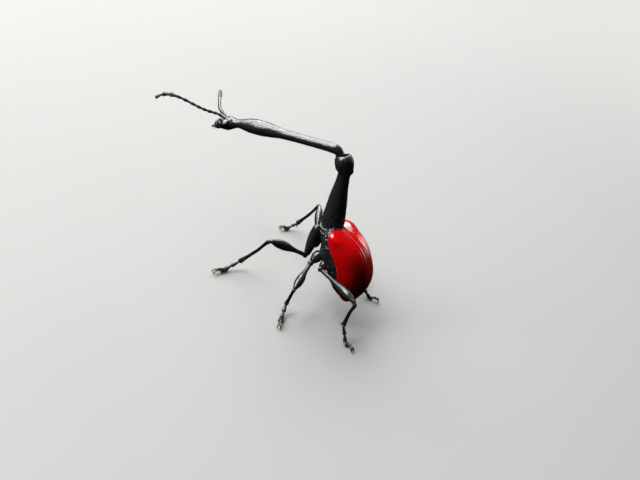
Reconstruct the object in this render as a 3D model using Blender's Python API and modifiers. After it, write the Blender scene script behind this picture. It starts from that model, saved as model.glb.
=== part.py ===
"""Still, life-size model of a male giraffe weevil that stands with its long neck raised.

Metres, +Z up, the floor at z = 0. The weevil heads along -X, so its left side is at -Y.
The box round the whole model is centred on the Z axis.
"""
import math

import bmesh
import bpy
from mathutils import Matrix, Vector

MM = 0.001
GAP = 0.3 * MM
WELD = 0.004 * MM

# The scutellum: the point where neck, wing cases and thorax meet
SCUTELLUM_AHEAD = 5.8
SCUTELLUM_HEIGHT = 7.3
BODY_PITCH = math.radians(54.4)

# Head and neck, one curved axis from the hinge on the prothorax to the jaws
HINGE = (-2.6, 0.0, 13.08)
NECK_PITCH = math.radians(19.0)
HEAD_PITCH = math.radians(40.0)
BEND_START = 6.3
BEND_POWER = 1.6
NECK_LENGTH = 9.1
FACE_LENGTH = 11.15
NECK_START = -0.1
NECK_RADII = ((-0.1, 0.33), (0.1, 0.35), (0.6, 0.38), (2.0, 0.36), (4.6, 0.37), (5.3, 0.42), (6.3, 0.55),
              (7.3, 0.61), (8.1, 0.54), (8.8, 0.38), (9.1, 0.34))
HEAD_RADII = ((9.1, 0.35), (9.5, 0.4), (10.0, 0.54), (10.3, 0.56), (10.7, 0.47), (11.15, 0.38))
HEAD_WIDTHS = ((9.1, 0.36), (9.5, 0.46), (10.0, 0.6), (10.3, 0.58), (10.7, 0.47), (11.15, 0.5))
EYE_PLACE = 10.05
EYE_RADIUS = 0.3
EYE_BULGE = 0.23
EYE_SEAT = 0.33
EYE_GAP = 0.2
JAW_LENGTH = 0.4
JAW_RADIUS = 0.18
JAW_PLACE = 0.3
JAW_HOOK = 0.16

# Feelers: where each leaves the face, bends and ends, in mm
FEELER_JOINTS = 11
FEELER_CLUB = 3
FEELER_RADIUS = 0.25
FEELER_SWELLING = 0.28
FEELER_CLUB_RADIUS = 0.3
FEELER_TIP = 0.1
FEELERS = {
    "left": ((-12.5, -0.34, 10.28), (-13.4, -0.46, 9.98), (-15.4, -0.95, 9.75), (-17.0, -1.4, 9.62),
             (-17.75, -2.05, 9.05)),
    "right": ((-12.6, 0.34, 10.2), (-13.35, 0.95, 9.72), (-14.57, 2.6, 8.85), (-15.16, 3.6, 8.7),
              (-16.0, 4.9, 8.45)),
}

# Prothorax: a leaning cone with a knob on top, cut slanting at its base
PROTHORAX_AXIS = ((-0.4, 0.0, 5.7), (-0.63, 0.0, 6.76), (-0.98, 0.0, 8.4), (-1.35, 0.0, 10.1),
                  (-1.55, 0.0, 11.2), (-1.82, 0.0, 12.0), (-2.25, 0.0, 12.95))
PROTHORAX_LENGTH = 7.4
KNOB = (-2.02, 0.0, 12.3)
KNOB_RADIUS = 0.7
PROTHORAX_RADII = ((0.0, 0.97), (0.9, 1.0), (1.1, 0.93), (1.35, 0.95), (1.6, 0.88), (2.6, 0.79),
                   (4.4, 0.57), (5.3, 0.42), (5.75, 0.43), (6.1, 0.6), (6.45, 0.7), (6.85, 0.68),
                   (7.2, 0.5), (7.4, 0.2))

# Wing cases, in mm along the body from the scutellum, and above it
CASE_LENGTH = 6.7
CASE_CREST = 3.4
CASE_HEIGHT = 1.9
CASE_HALF_WIDTH = 1.85
CASE_SHOULDER = 1.5
CASE_EDGE = -0.25
CASE_WALL = 0.5
CASE_START = 0.15
CASE_ARCH = 2.6
CASE_TAPER = 3.2
CASE_CORNER = 0.45
CASE_SECTION = 0.9
SCUTELLUM_HALF_WIDTH = 0.3
SCUTELLUM_LENGTH = 0.75
SCUTELLUM_NOTCH = 1.1
SCUTELLUM_FOOT = -0.95

# Thorax and abdomen, under the wing cases, in mm along the body and across it
THORAX_END = 3.35
THORAX_BELLY = ((0.0, -1.1), (2.3, -2.15), (3.4, -2.2))
THORAX_SIDE = ((0.0, 1.1), (1.6, 1.25), (3.4, 1.1))
ABDOMEN_START = 3.65
ABDOMEN_END = 6.0
ABDOMEN_BELLY = -2.1
ABDOMEN_SIDE = 1.4
ABDOMEN_ROOF = 1.1
LEDGE = -0.6
LEDGE_STEP = 0.02
ROOF_SPACE = 0.35

# Legs: lengths and radii of each pair, in mm
FEMUR_LENGTH = {"front": 3.95, "middle": 3.2, "hind": 4.5}
TIBIA_LENGTH = {"front": 4.55, "middle": 2.6, "hind": 3.45}
FEMUR_RADIUS = {"front": 0.37, "middle": 0.35, "hind": 0.32}
COXA_RADIUS = {"front": 0.44, "middle": 0.37, "hind": 0.36}
HIP_RADIUS = 0.3
KNEE_RADIUS = 0.26
TIBIA_RADIUS = 0.25
ANKLE_RADIUS = 0.28

# Feet: shares of the length on the floor, mm across and up, and sizes in mm
FOOT_RADIUS = 0.25
FOOT_BEND = (0.28, 0.42)
FOOT_BEND_RISE = 0.14
FOOT_SOLE = ((0.52, 0.27), (0.82, 0.3))
FOOT_TIP_RADII = (0.2, 0.14)
PAD_PLACE = (0.56, 0.2, 0.07)
PAD_SIZE = (0.36, 0.26, 0.2)
CLAW = ((0.74, 0.04, 0.3), (0.86, 0.16, 0.36), (0.95, 0.25, 0.26), (0.99, 0.3, 0.08))
CLAW_RADII = (0.15, 0.12, 0.09, 0.05)

# Stance of each leg: where its coxa leaves the body, its hip, the way its knee points,
# its ankle, and the tips of its claws on the floor
STANCE = {
    "front_left": ((-1.5, -0.5, 6.5), (-1.28, -0.85, 3.45), (-0.19, -0.56, 0.81),
                   (-5.57, -3.23, 0.79), (-6.57, -5.38)),
    "front_right": ((-1.5, 0.5, 6.5), (-1.28, 0.85, 3.45), (-0.16, 0.41, 0.9),
                    (-4.82, 5.32, 0.83), (-5.8, 4.1)),
    "middle_left": ((-0.25, -0.6, 4.5), (-0.48, -1.6, 3.76), (0.15, -0.78, 0.6),
                    (-0.24, -4.01, 0.68), (0.57, -6.16)),
    "middle_right": ((-0.25, 0.6, 4.5), (-0.48, 1.6, 3.76), (0.15, 0.78, 0.6),
                     (-0.24, 4.01, 0.68), (0.57, 6.16)),
    "hind_left": ((0.72, -0.8, 4.4), (0.43, -1.75, 3.88), (0.44, -0.37, 0.81),
                  (4.48, -2.78, 1.2), (6.23, -3.48)),
    "hind_right": ((0.72, 0.8, 4.4), (0.43, 1.75, 3.88), (-0.24, 0.95, 0.2),
                   (3.6, 3.0, 0.9), (5.38, 3.51)),
}

BLACK = (0.012, 0.011, 0.012, 1.0)
RED = (0.56, 0.008, 0.01, 1.0)
BROWN = (0.16, 0.05, 0.02, 1.0)

BODY = (Matrix.Translation(Vector((SCUTELLUM_AHEAD, 0.0, SCUTELLUM_HEIGHT)) * MM)
        @ Matrix.Rotation(BODY_PITCH, 4, "Y"))


def at(point):
    """A point given in mm from the floor below the scutellum, in metres."""
    return Vector((point[0] + SCUTELLUM_AHEAD, point[1], point[2])) * MM


def eased(pairs, place):
    """The value at a place on a smooth line through (place, value) pairs."""
    for (start, low), (end, high) in zip(pairs, pairs[1:]):
        if place <= end:
            share = max(0.0, (place - start) / (end - start))
            return low + (high - low) * share * share * (3.0 - 2.0 * share)
    return pairs[-1][1]


def smooth_path(knots, count):
    """Points evenly spread over a smooth curve through the knots."""
    ends = [knots[0] * 2 - knots[1]] + list(knots) + [knots[-1] * 2 - knots[-2]]
    fine = []
    for index in range(1, len(ends) - 2):
        before, near, far, after = ends[index - 1:index + 3]
        for step in range(16):
            share = step / 16
            fine.append(0.5 * (2 * near + (far - before) * share
                               + (2 * before - 5 * near + 4 * far - after) * share ** 2
                               + (3 * near - before - 3 * far + after) * share ** 3))
    fine.append(Vector(knots[-1]))
    reach = [0.0]
    for near, far in zip(fine, fine[1:]):
        reach.append(reach[-1] + (far - near).length)
    path = []
    index = 0
    for step in range(count):
        goal = reach[-1] * step / (count - 1)
        while index < len(reach) - 2 and reach[index + 1] < goal:
            index += 1
        share = (goal - reach[index]) / (reach[index + 1] - reach[index])
        path.append(fine[index].lerp(fine[index + 1], share))
    return path


def finish(name, colour, roughness):
    """A plain glossy finish of one colour."""
    surface = bpy.data.materials.new(name)
    surface.use_nodes = True
    shader = surface.node_tree.nodes["Principled BSDF"]
    shader.inputs["Base Color"].default_value = colour
    shader.inputs["Roughness"].default_value = roughness
    shader.inputs["Metallic"].default_value = 0.0
    surface.diffuse_color = colour
    return surface


def group(name):
    """A collection of that name in the scene."""
    collection = bpy.data.collections.new(name)
    bpy.context.scene.collection.children.link(collection)
    return collection


def loft(rings):
    """A closed mesh through rings of points, with a cap at each end."""
    mesh = bmesh.new()
    rows = [[mesh.verts.new(point) for point in ring] for ring in rings]
    for near, far in zip(rows, rows[1:]):
        for index, corner in enumerate(near):
            after = (index + 1) % len(near)
            mesh.faces.new((corner, near[after], far[after], far[index]))
    mesh.faces.new(rows[0][::-1])
    mesh.faces.new(rows[-1])
    bmesh.ops.recalc_face_normals(mesh, faces=mesh.faces)
    return mesh


def tube(points, radii, steps=2):
    """A round tapered rod along points, as a mesh with welded caps."""
    curve = bpy.data.curves.new("rod", "CURVE")
    curve.dimensions = "3D"
    curve.bevel_depth = MM
    curve.bevel_resolution = steps
    curve.use_fill_caps = True
    spline = curve.splines.new("POLY")
    spline.points.add(len(points) - 1)
    for knot, point, radius in zip(spline.points, points, radii):
        knot.co = (*point, 1.0)
        knot.radius = radius / MM
    rod = bpy.data.objects.new("rod", curve)
    bpy.context.scene.collection.objects.link(rod)
    graph = bpy.context.evaluated_depsgraph_get()
    shape = bpy.data.meshes.new_from_object(rod.evaluated_get(graph))
    bpy.data.objects.remove(rod)
    mesh = bmesh.new()
    mesh.from_mesh(shape)
    bpy.data.meshes.remove(shape)
    bmesh.ops.remove_doubles(mesh, verts=mesh.verts, dist=WELD)
    bmesh.ops.recalc_face_normals(mesh, faces=mesh.faces)
    return mesh


def cut(mesh, point, normal):
    """Takes away what lies beyond a plane, on the side its normal points to, and caps the cut."""
    geometry = list(mesh.verts) + list(mesh.edges) + list(mesh.faces)
    bmesh.ops.bisect_plane(mesh, geom=geometry, dist=0.001 * MM, plane_co=point, plane_no=normal,
                           clear_outer=True)
    bmesh.ops.holes_fill(mesh, edges=mesh.edges, sides=0)
    bmesh.ops.remove_doubles(mesh, verts=mesh.verts, dist=WELD)
    bmesh.ops.recalc_face_normals(mesh, faces=mesh.faces)


def keep_largest(mesh):
    """Keeps the largest closed surface of a mesh."""
    left = set(mesh.faces)
    shells = []
    while left:
        shell = {left.pop()}
        edge = list(shell)
        while edge:
            face = edge.pop()
            for side in face.edges:
                for other in side.link_faces:
                    if other in left:
                        left.discard(other)
                        shell.add(other)
                        edge.append(other)
        shells.append(shell)
    shells.sort(key=lambda shell: sum(face.calc_area() for face in shell))
    scraps = [face for shell in shells[:-1] for face in shell]
    bmesh.ops.delete(mesh, geom=scraps, context="FACES")


def fixed_object(name, mesh, collection):
    """An object that holds a mesh as it stands in the world."""
    shape = bpy.data.meshes.new(name)
    mesh.to_mesh(shape)
    mesh.free()
    thing = bpy.data.objects.new(name, shape)
    collection.objects.link(thing)
    return thing


def combined(meshes, operation="UNION"):
    """The first mesh joined with, or cut by, all the others in one Boolean."""
    bench = group("bench")
    first = fixed_object("first", meshes[0], bpy.context.scene.collection)
    others = [fixed_object("other", mesh, bench) for mesh in meshes[1:]]
    join = first.modifiers.new("join", "BOOLEAN")
    join.operation = operation
    join.operand_type = "COLLECTION"
    join.collection = bench
    join.solver = "EXACT"
    graph = bpy.context.evaluated_depsgraph_get()
    shape = bpy.data.meshes.new_from_object(first.evaluated_get(graph))
    for thing in [first] + others:
        bpy.data.objects.remove(thing)
    bpy.data.collections.remove(bench)
    mesh = bmesh.new()
    mesh.from_mesh(shape)
    bpy.data.meshes.remove(shape)
    bmesh.ops.remove_doubles(mesh, verts=mesh.verts, dist=WELD)
    bmesh.ops.dissolve_degenerate(mesh, edges=mesh.edges, dist=WELD)
    keep_largest(mesh)
    return mesh


def add_node(name, mesh, root, surface, weevil):
    """A node of the model, with its origin at the point it grows from."""
    bmesh.ops.triangulate(mesh, faces=mesh.faces)
    bmesh.ops.transform(mesh, matrix=Matrix.Translation(-root), verts=mesh.verts)
    thing = fixed_object(name, mesh, weevil)
    thing.location = root
    thing.data.materials.append(surface)
    thing.data.shade_smooth()
    thing.data.set_sharp_from_angle(angle=math.radians(40.0))
    return thing


def neck_axis(count=48):
    """Points and directions of the neck's axis, with their distance from the hinge in mm."""
    heading = Vector((-math.cos(NECK_PITCH), 0.0, -math.sin(NECK_PITCH)))
    place = at(HINGE) + heading * (NECK_START * MM)
    step = (FACE_LENGTH - NECK_START) / count
    stations = []
    for index in range(count + 1):
        reach = NECK_START + index * step
        share = max(0.0, (reach - BEND_START) / (FACE_LENGTH - BEND_START))
        pitch = NECK_PITCH + (HEAD_PITCH - NECK_PITCH) * share ** BEND_POWER
        heading = Vector((-math.cos(pitch), 0.0, -math.sin(pitch)))
        stations.append((reach, place.copy(), heading))
        place = place + heading * (step * MM)
    return stations


def neck_point(reach):
    """The point and heading on the neck's axis at a distance in mm from the hinge."""
    return min(neck_axis(), key=lambda station: abs(station[0] - reach))[1:]


def neck_length(first, last, radii, widths, count, sides=14):
    """A length of the head and neck, as a loft of upright ellipses square to the axis."""
    rings = []
    for index in range(count):
        reach = first + (last - first) * index / (count - 1)
        centre, heading = neck_point(reach)
        up = Vector((0.0, 1.0, 0.0)).cross(heading).normalized()
        high = eased(radii, reach) * MM
        wide = eased(widths, reach) * MM
        ring = []
        for side in range(sides):
            angle = 2 * math.pi * side / sides
            ring.append(centre + up * (high * math.cos(angle))
                        + Vector((0.0, wide * math.sin(angle), 0.0)))
        rings.append(ring)
    return loft(rings)


def make_neck(black, weevil):
    """The long rear part of the head, with its spindle-shaped swelling."""
    end = NECK_LENGTH - GAP / MM / 2
    mesh = neck_length(NECK_START, end, NECK_RADII, NECK_RADII, 30)
    knob = at(KNOB)
    away = (at(HINGE) - knob).normalized()
    cut(mesh, knob + away * (KNOB_RADIUS * MM + GAP), -away)
    add_node("neck", mesh, at(HINGE), black, weevil)


def make_head(black, weevil):
    """The face, flattened at each side for the seat of an eye."""
    start = NECK_LENGTH + GAP / MM / 2
    mesh = neck_length(start, FACE_LENGTH, HEAD_RADII, HEAD_WIDTHS, 10)
    centre, heading = neck_point(EYE_PLACE)
    up = Vector((0.0, 1.0, 0.0)).cross(heading).normalized()
    seats = [mesh]
    for side in (-1.0, 1.0):
        seats.append(eye_block(centre, heading, up, side))
    mesh = combined(seats, "DIFFERENCE")
    add_node("head", mesh, neck_point(start)[0], black, weevil)


def eye_block(centre, heading, up, side):
    """A round cutter that leaves a flat seat for an eye on one side of the head."""
    block = bmesh.new()
    radius = (EYE_RADIUS + EYE_GAP) * MM
    bmesh.ops.create_cone(block, cap_ends=True, segments=16, radius1=radius, radius2=radius,
                          depth=MM)
    place = Matrix.Translation(centre + Vector((0.0, side * (EYE_SEAT * MM + MM / 2), 0.0)))
    bmesh.ops.transform(block, matrix=place @ Matrix.Rotation(math.pi / 2, 4, "X"),
                        verts=block.verts)
    return block


def make_eyes(black, weevil):
    """Each eye is a low dome that faces its seat on the head."""
    centre = neck_point(EYE_PLACE)[0]
    for name, side in (("eye_left", -1.0), ("eye_right", 1.0)):
        mesh = bmesh.new()
        bmesh.ops.create_uvsphere(mesh, u_segments=14, v_segments=10, radius=EYE_RADIUS * MM)
        bmesh.ops.transform(mesh, matrix=Matrix.Rotation(-side * math.pi / 2, 4, "X"),
                            verts=mesh.verts)
        cut(mesh, Vector(), Vector((0.0, -side, 0.0)))
        bmesh.ops.transform(mesh, matrix=Matrix.Diagonal((1.0, EYE_BULGE / EYE_RADIUS, 1.0, 1.0)),
                            verts=mesh.verts)
        root = centre + Vector((0.0, side * (EYE_SEAT + EYE_GAP) * MM, 0.0))
        bmesh.ops.transform(mesh, matrix=Matrix.Translation(root), verts=mesh.verts)
        add_node(name, mesh, root, black, weevil)


def make_jaws(brown, weevil):
    """Two short curved jaws in front of the face."""
    centre, heading = neck_point(FACE_LENGTH)
    for name, side in (("mandible_left", -1.0), ("mandible_right", 1.0)):
        root = centre + heading * GAP + Vector((0.0, side * JAW_PLACE * MM, 0.0))
        points = []
        radii = []
        for index in range(6):
            share = index / 5
            inward = Vector((0.0, -side * JAW_HOOK * MM * share ** 2, 0.0))
            points.append(root + heading * (JAW_LENGTH * MM * share) + inward)
            radii.append(JAW_RADIUS * MM * (1.0 - 0.75 * share ** 2))
        add_node(name, tube(points, radii), root, brown, weevil)


def make_feelers(black, weevil):
    """Feelers of eleven joints, each wider at its far end, with a club of three at the tip."""
    for side, knots in FEELERS.items():
        path = smooth_path([at(knot) for knot in knots], FEELER_JOINTS * 2 + 1)
        radii = []
        for index in range(len(path)):
            joint = index // 2
            widest = FEELER_CLUB_RADIUS if FEELER_JOINTS - joint <= FEELER_CLUB else FEELER_SWELLING
            radii.append((widest if index % 2 else FEELER_RADIUS) * MM)
        radii[-1] = FEELER_TIP * MM
        add_node("antenna_" + side, tube(path, radii), path[0], black, weevil)


def prothorax_mesh(grow=0.0):
    """The neck-like prothorax, grown all over by a distance."""
    path = smooth_path([at(knot) for knot in PROTHORAX_AXIS], 40)
    radii = []
    for index in range(len(path)):
        reach = PROTHORAX_LENGTH * index / (len(path) - 1)
        radii.append(eased(PROTHORAX_RADII, reach) * MM + grow)
    mesh = tube(path, radii, steps=5)
    behind = BODY.to_3x3() @ Vector((1.0, 0.0, 0.0))
    cut(mesh, BODY @ Vector((grow - GAP / 2, 0.0, 0.0)), behind)
    return mesh


def make_prothorax(black, weevil):
    """The prothorax, which carries the head on a knob."""
    add_node("prothorax", prothorax_mesh(), at(PROTHORAX_AXIS[1]), black, weevil)


def case_top(along):
    """Height of the wing cases' seam over the scutellum, in mm."""
    span = CASE_CREST if along < CASE_CREST else CASE_LENGTH - CASE_CREST
    return CASE_HEIGHT * (1.0 - abs((along - CASE_CREST) / span) ** CASE_ARCH)


def case_width(along):
    """Half the width of the two wing cases together, in mm."""
    if along < CASE_CREST:
        pinch = ((CASE_CREST - along) / CASE_CREST) ** 3
        corner = max(0.0, 1.0 - along / CASE_CORNER) ** 2
        wide = CASE_HALF_WIDTH - (CASE_HALF_WIDTH - CASE_SHOULDER) * pinch
        return wide * (1.0 - 0.15 * corner)
    share = (along - CASE_CREST) / (CASE_LENGTH - CASE_CREST)
    return CASE_HALF_WIDTH * math.sqrt(max(0.0, 1.0 - share ** CASE_TAPER))


def case_seam(along):
    """Half the space between the wing cases, wider where they part round the scutellum."""
    notch = max(0.0, 1.0 - along / SCUTELLUM_NOTCH)
    return GAP / MM / 2 + (SCUTELLUM_HALF_WIDTH + GAP / MM) * notch


def make_wing_cases(red, weevil):
    """Two domed wing cases, each an open sheet given a wall."""
    rows = 18
    columns = 9
    for name, side in (("elytron_left", -1.0), ("elytron_right", 1.0)):
        sheet = bmesh.new()
        grid = []
        for row in range(rows):
            share = row / (rows - 1)
            spread = share * 0.5 + 0.5 * math.sin(share * math.pi / 2)
            along = CASE_START + (CASE_LENGTH * 0.988 - CASE_START) * spread
            top = case_top(along)
            wide = case_width(along)
            seam = case_seam(along)
            line = []
            for column in range(columns):
                angle = math.pi / 2 * column / (columns - 1)
                out = seam + (wide - seam) * math.sin(angle) ** CASE_SECTION
                up = CASE_EDGE + (top - CASE_EDGE) * max(0.0, math.cos(angle)) ** CASE_SECTION
                line.append(sheet.verts.new(BODY @ (Vector((along, side * out, up)) * MM)))
            grid.append(line)
        for near, far in zip(grid, grid[1:]):
            for index in range(columns - 1):
                corners = [near[index], near[index + 1], far[index + 1], far[index]]
                sheet.faces.new(corners if side < 0 else corners[::-1])
        thing = fixed_object(name, sheet, weevil)
        wall = thing.modifiers.new("wall", "SOLIDIFY")
        wall.thickness = CASE_WALL * MM
        wall.offset = -1.0
        thing.data.materials.append(red)
        thing.data.shade_smooth()
        thing.data.set_sharp_from_angle(angle=math.radians(40.0))


def trunk_ring(along, top, ledge, bottom, inner, outer, sides=10, grow=0.0):
    """A section of the trunk: a narrow arch under the wing cases over a wide belly."""
    arch = []
    belly = []
    for index in range(sides):
        angle = math.pi * index / (sides - 1)
        arch.append((along, (inner + grow) * math.cos(angle),
                     ledge + (top - ledge + grow) * math.sin(angle)))
        belly.append((along, -(outer + grow) * math.cos(angle),
                      ledge - LEDGE_STEP - (ledge - bottom + grow) * math.sin(angle)))
    return [BODY @ (Vector(point) * MM) for point in arch + belly]


def thorax_mesh(grow=0.0):
    """Middle and hind thorax, from the prothorax to the abdomen."""
    rings = []
    start = CASE_START - grow
    end = THORAX_END + grow
    for index in range(12):
        along = start + (end - start) * index / 11
        inside = case_width(max(CASE_START, along)) - CASE_WALL - ROOF_SPACE
        top = case_top(max(CASE_START, along)) - CASE_WALL - ROOF_SPACE
        bottom = eased(THORAX_BELLY, along)
        outer = eased(THORAX_SIDE, along)
        ledge = min(LEDGE, top - LEDGE_STEP)
        rings.append(trunk_ring(along, top, ledge, bottom, inside, outer, grow=grow))
    return loft(rings)


def make_thorax(black, weevil):
    """The thorax, with the small scutellum standing up between the wing cases."""
    rings = []
    for index in range(5):
        share = index / 4
        along = CASE_START + SCUTELLUM_LENGTH * share
        half = SCUTELLUM_HALF_WIDTH * (1.0 - 0.85 * share)
        top = case_top(along) - 0.05
        ring = [(along, -half, top - 0.05), (along, 0.0, top), (along, half, top - 0.05),
                (along, half * 0.8, SCUTELLUM_FOOT), (along, -half * 0.8, SCUTELLUM_FOOT)]
        rings.append([BODY @ (Vector(point) * MM) for point in ring])
    mesh = combined([thorax_mesh(), loft(rings)])
    root = BODY @ (Vector((CASE_START, 0.0, SCUTELLUM_FOOT)) * MM)
    add_node("thorax", mesh, root, black, weevil)


def make_abdomen(black, weevil):
    """The abdomen, rounded off under the ends of the wing cases."""
    rings = []
    length = ABDOMEN_END - ABDOMEN_START
    for index in range(12):
        gone = math.sin(index / 11 * math.pi / 2)
        along = ABDOMEN_START + length * gone
        shrink = math.sqrt(1.0 - 0.88 * gone ** 3)
        inside = min(case_width(along) - CASE_WALL - ROOF_SPACE, ABDOMEN_ROOF) * shrink
        roof = min(case_top(along) - CASE_WALL - ROOF_SPACE, ABDOMEN_ROOF)
        top = LEDGE + (roof - LEDGE) * shrink
        bottom = LEDGE + (ABDOMEN_BELLY - LEDGE) * shrink
        rings.append(trunk_ring(along, top, LEDGE, bottom, inside, ABDOMEN_SIDE * shrink))
    root = BODY @ Vector((ABDOMEN_START * MM, 0.0, 0.0))
    add_node("abdomen", loft(rings), root, black, weevil)


def knee_point(hip, ankle, femur, tibia, pole):
    """The knee of two lengths that reach from hip to ankle and bend towards the pole."""
    chord = ankle - hip
    reach = chord.length
    along = (femur ** 2 - tibia ** 2 + reach ** 2) / (2 * reach)
    out = math.sqrt(max(0.0, femur ** 2 - along ** 2))
    way = chord.normalized()
    side = (pole - way * pole.dot(way)).normalized()
    return hip + way * along + side * out


def limb(start, end, radii, steps=3):
    """A length of leg with a round end at each joint, as (share, radius) pairs give its girth."""
    way = (end - start).normalized()
    reach = (end - start).length
    first = radii[0][1] * MM
    last = radii[-1][1] * MM
    points = []
    girths = []
    for angle in (75.0, 50.0, 25.0):
        turn = math.radians(angle)
        points.append(start - way * (first * math.sin(turn)))
        girths.append(first * math.cos(turn))
    for index in range(9):
        share = index / 8
        points.append(start + way * (reach * share))
        girths.append(eased(radii, share) * MM)
    for angle in (25.0, 50.0, 75.0):
        turn = math.radians(angle)
        points.append(end + way * (last * math.sin(turn)))
        girths.append(last * math.cos(turn))
    return tube(points, girths, steps)


def mitre(mesh, joint, into, out_of, side):
    """Cuts one side of a joint square to the bisector of its two lengths, half a gap off."""
    normal = (into.normalized() + out_of.normalized()).normalized() * side
    cut(mesh, joint - normal * (GAP / 2), normal)


def foot_mesh(ankle, toe):
    """A foot: two joints, a two-lobed pad flat on the floor, and a pair of claws."""
    floor = Vector((ankle.x, ankle.y, 0.0))
    way = (toe - floor).normalized()
    across = Vector((-way.y, way.x, 0.0))
    up = Vector((0.0, 0.0, 1.0))

    def place(share, side, height):
        """A point a share of the way to the toe, and mm across and up."""
        return floor.lerp(toe, share) + across * (side * MM) + up * (height * MM)

    bend = place(FOOT_BEND[0], 0.0, FOOT_BEND_RISE) + up * (ankle.z * FOOT_BEND[1])
    knots = [ankle, bend] + [place(share, 0.0, height) for share, height in FOOT_SOLE]
    radii = [FOOT_RADIUS * MM] * 8 + [radius * MM for radius in FOOT_TIP_RADII]
    pieces = [tube(smooth_path(knots, 10), radii)]
    for side in (-1.0, 1.0):
        pad = bmesh.new()
        bmesh.ops.create_uvsphere(pad, u_segments=10, v_segments=6, radius=MM)
        centre = place(PAD_PLACE[0], side * PAD_PLACE[1], PAD_PLACE[2])
        turn = Matrix((way, across, up)).transposed().to_4x4()
        shape = Matrix.Translation(centre) @ turn @ Matrix.Diagonal((*PAD_SIZE, 1.0))
        bmesh.ops.transform(pad, matrix=shape, verts=pad.verts)
        pieces.append(pad)
        claw = [place(share, side * out, height) for share, out, height in CLAW]
        pieces.append(tube(claw, [radius * MM for radius in CLAW_RADII]))
    mesh = combined(pieces)
    cut(mesh, Vector(), Vector((0.0, 0.0, -1.0)))
    return mesh


def make_leg(name, pair, black, weevil):
    """A leg of four nodes, from the coxa on the body to the claws."""
    root, hip, pole, ankle, toe = STANCE[name]
    root = at(root)
    hip = at(hip)
    ankle = at(ankle)
    toe = at((toe[0], toe[1], 0.0))
    femur = FEMUR_LENGTH[pair] * MM
    tibia = TIBIA_LENGTH[pair] * MM
    knee = knee_point(hip, ankle, femur, tibia, Vector(pole))
    sole = Vector((ankle.x, ankle.y, 0.0)).lerp(toe, FOOT_BEND[0])
    sole.z = ankle.z * FOOT_BEND[1]

    girth = COXA_RADIUS[pair]
    mesh = limb(root, hip, ((0.0, girth), (0.4, girth), (1.0, HIP_RADIUS)))
    mitre(mesh, hip, hip - root, knee - hip, 1.0)
    body = prothorax_mesh(GAP) if pair == "front" else thorax_mesh(GAP / MM)
    mesh = combined([mesh, body], "DIFFERENCE")
    if pair == "front":
        mesh = combined([mesh, thorax_mesh(GAP / MM)], "DIFFERENCE")
    add_node("coxa_" + name, mesh, root, black, weevil)

    girth = FEMUR_RADIUS[pair]
    mesh = limb(hip, knee, ((0.0, KNEE_RADIUS), (0.15, KNEE_RADIUS), (0.62, girth),
                            (0.92, KNEE_RADIUS), (1.0, KNEE_RADIUS)))
    mitre(mesh, hip, hip - root, knee - hip, -1.0)
    mitre(mesh, knee, knee - hip, ankle - knee, 1.0)
    add_node("femur_" + name, mesh, hip, black, weevil)

    mesh = limb(knee, ankle, ((0.0, TIBIA_RADIUS), (0.8, TIBIA_RADIUS), (1.0, ANKLE_RADIUS)))
    mitre(mesh, knee, knee - hip, ankle - knee, -1.0)
    mitre(mesh, ankle, ankle - knee, sole - ankle, 1.0)
    add_node("tibia_" + name, mesh, knee, black, weevil)

    mesh = foot_mesh(ankle, toe)
    mitre(mesh, ankle, ankle - knee, sole - ankle, -1.0)
    keep_largest(mesh)
    add_node("tarsus_" + name, mesh, ankle, black, weevil)


def main():
    """Builds the whole weevil."""
    for thing in list(bpy.data.objects):
        bpy.data.objects.remove(thing, do_unlink=True)
    weevil = group("giraffe_weevil")
    black = finish("glossy_black", BLACK, 0.18)
    red = finish("glossy_red", RED, 0.2)
    brown = finish("dark_brown", BROWN, 0.3)
    make_head(black, weevil)
    make_eyes(black, weevil)
    make_jaws(brown, weevil)
    make_feelers(black, weevil)
    make_neck(black, weevil)
    make_prothorax(black, weevil)
    make_thorax(black, weevil)
    make_abdomen(black, weevil)
    make_wing_cases(red, weevil)
    for name in STANCE:
        make_leg(name, name.split("_")[0], black, weevil)


if __name__ == "__main__":
    main()
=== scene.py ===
"""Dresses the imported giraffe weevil: shells, eyes, jaws, feelers, wing cases, legs and feet.

Metres, +Z up, the floor at z = 0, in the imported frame. The weevil heads along -X, so its left
side is at -Y. Lengths named below are in mm, as the part's own driving dimensions are.
"""

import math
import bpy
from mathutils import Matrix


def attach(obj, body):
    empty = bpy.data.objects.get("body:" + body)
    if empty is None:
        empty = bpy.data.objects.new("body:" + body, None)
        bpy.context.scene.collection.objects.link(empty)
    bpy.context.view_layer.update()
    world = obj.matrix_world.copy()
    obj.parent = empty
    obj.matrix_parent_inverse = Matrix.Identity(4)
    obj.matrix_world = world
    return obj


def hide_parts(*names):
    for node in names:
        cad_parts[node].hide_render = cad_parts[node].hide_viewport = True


bl_info = {
    "name": "Giraffe weevil looks",
    "version": (1, 0, 0),
    "blender": (4, 5, 0),
    "location": "3D View > Sidebar > Weevil",
    "description": "Glossy shells, jointed feelers, clawed feet and studio light for the giraffe weevil",
    "category": "Object",
}

import bmesh
import bpy
import numpy as np
from mathutils import Matrix, Vector

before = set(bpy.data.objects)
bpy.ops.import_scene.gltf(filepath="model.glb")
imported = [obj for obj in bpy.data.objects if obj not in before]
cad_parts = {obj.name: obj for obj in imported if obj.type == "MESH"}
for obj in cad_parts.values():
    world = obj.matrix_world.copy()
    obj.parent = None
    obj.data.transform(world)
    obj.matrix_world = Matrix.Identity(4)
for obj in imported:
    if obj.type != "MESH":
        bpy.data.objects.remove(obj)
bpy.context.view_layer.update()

MM = 0.001

# The scutellum, where prothorax, wing cases and thorax meet
SCUTELLUM_AHEAD = 5.8
SCUTELLUM_HEIGHT = 7.3
BODY_PITCH = math.radians(54.4)

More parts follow.
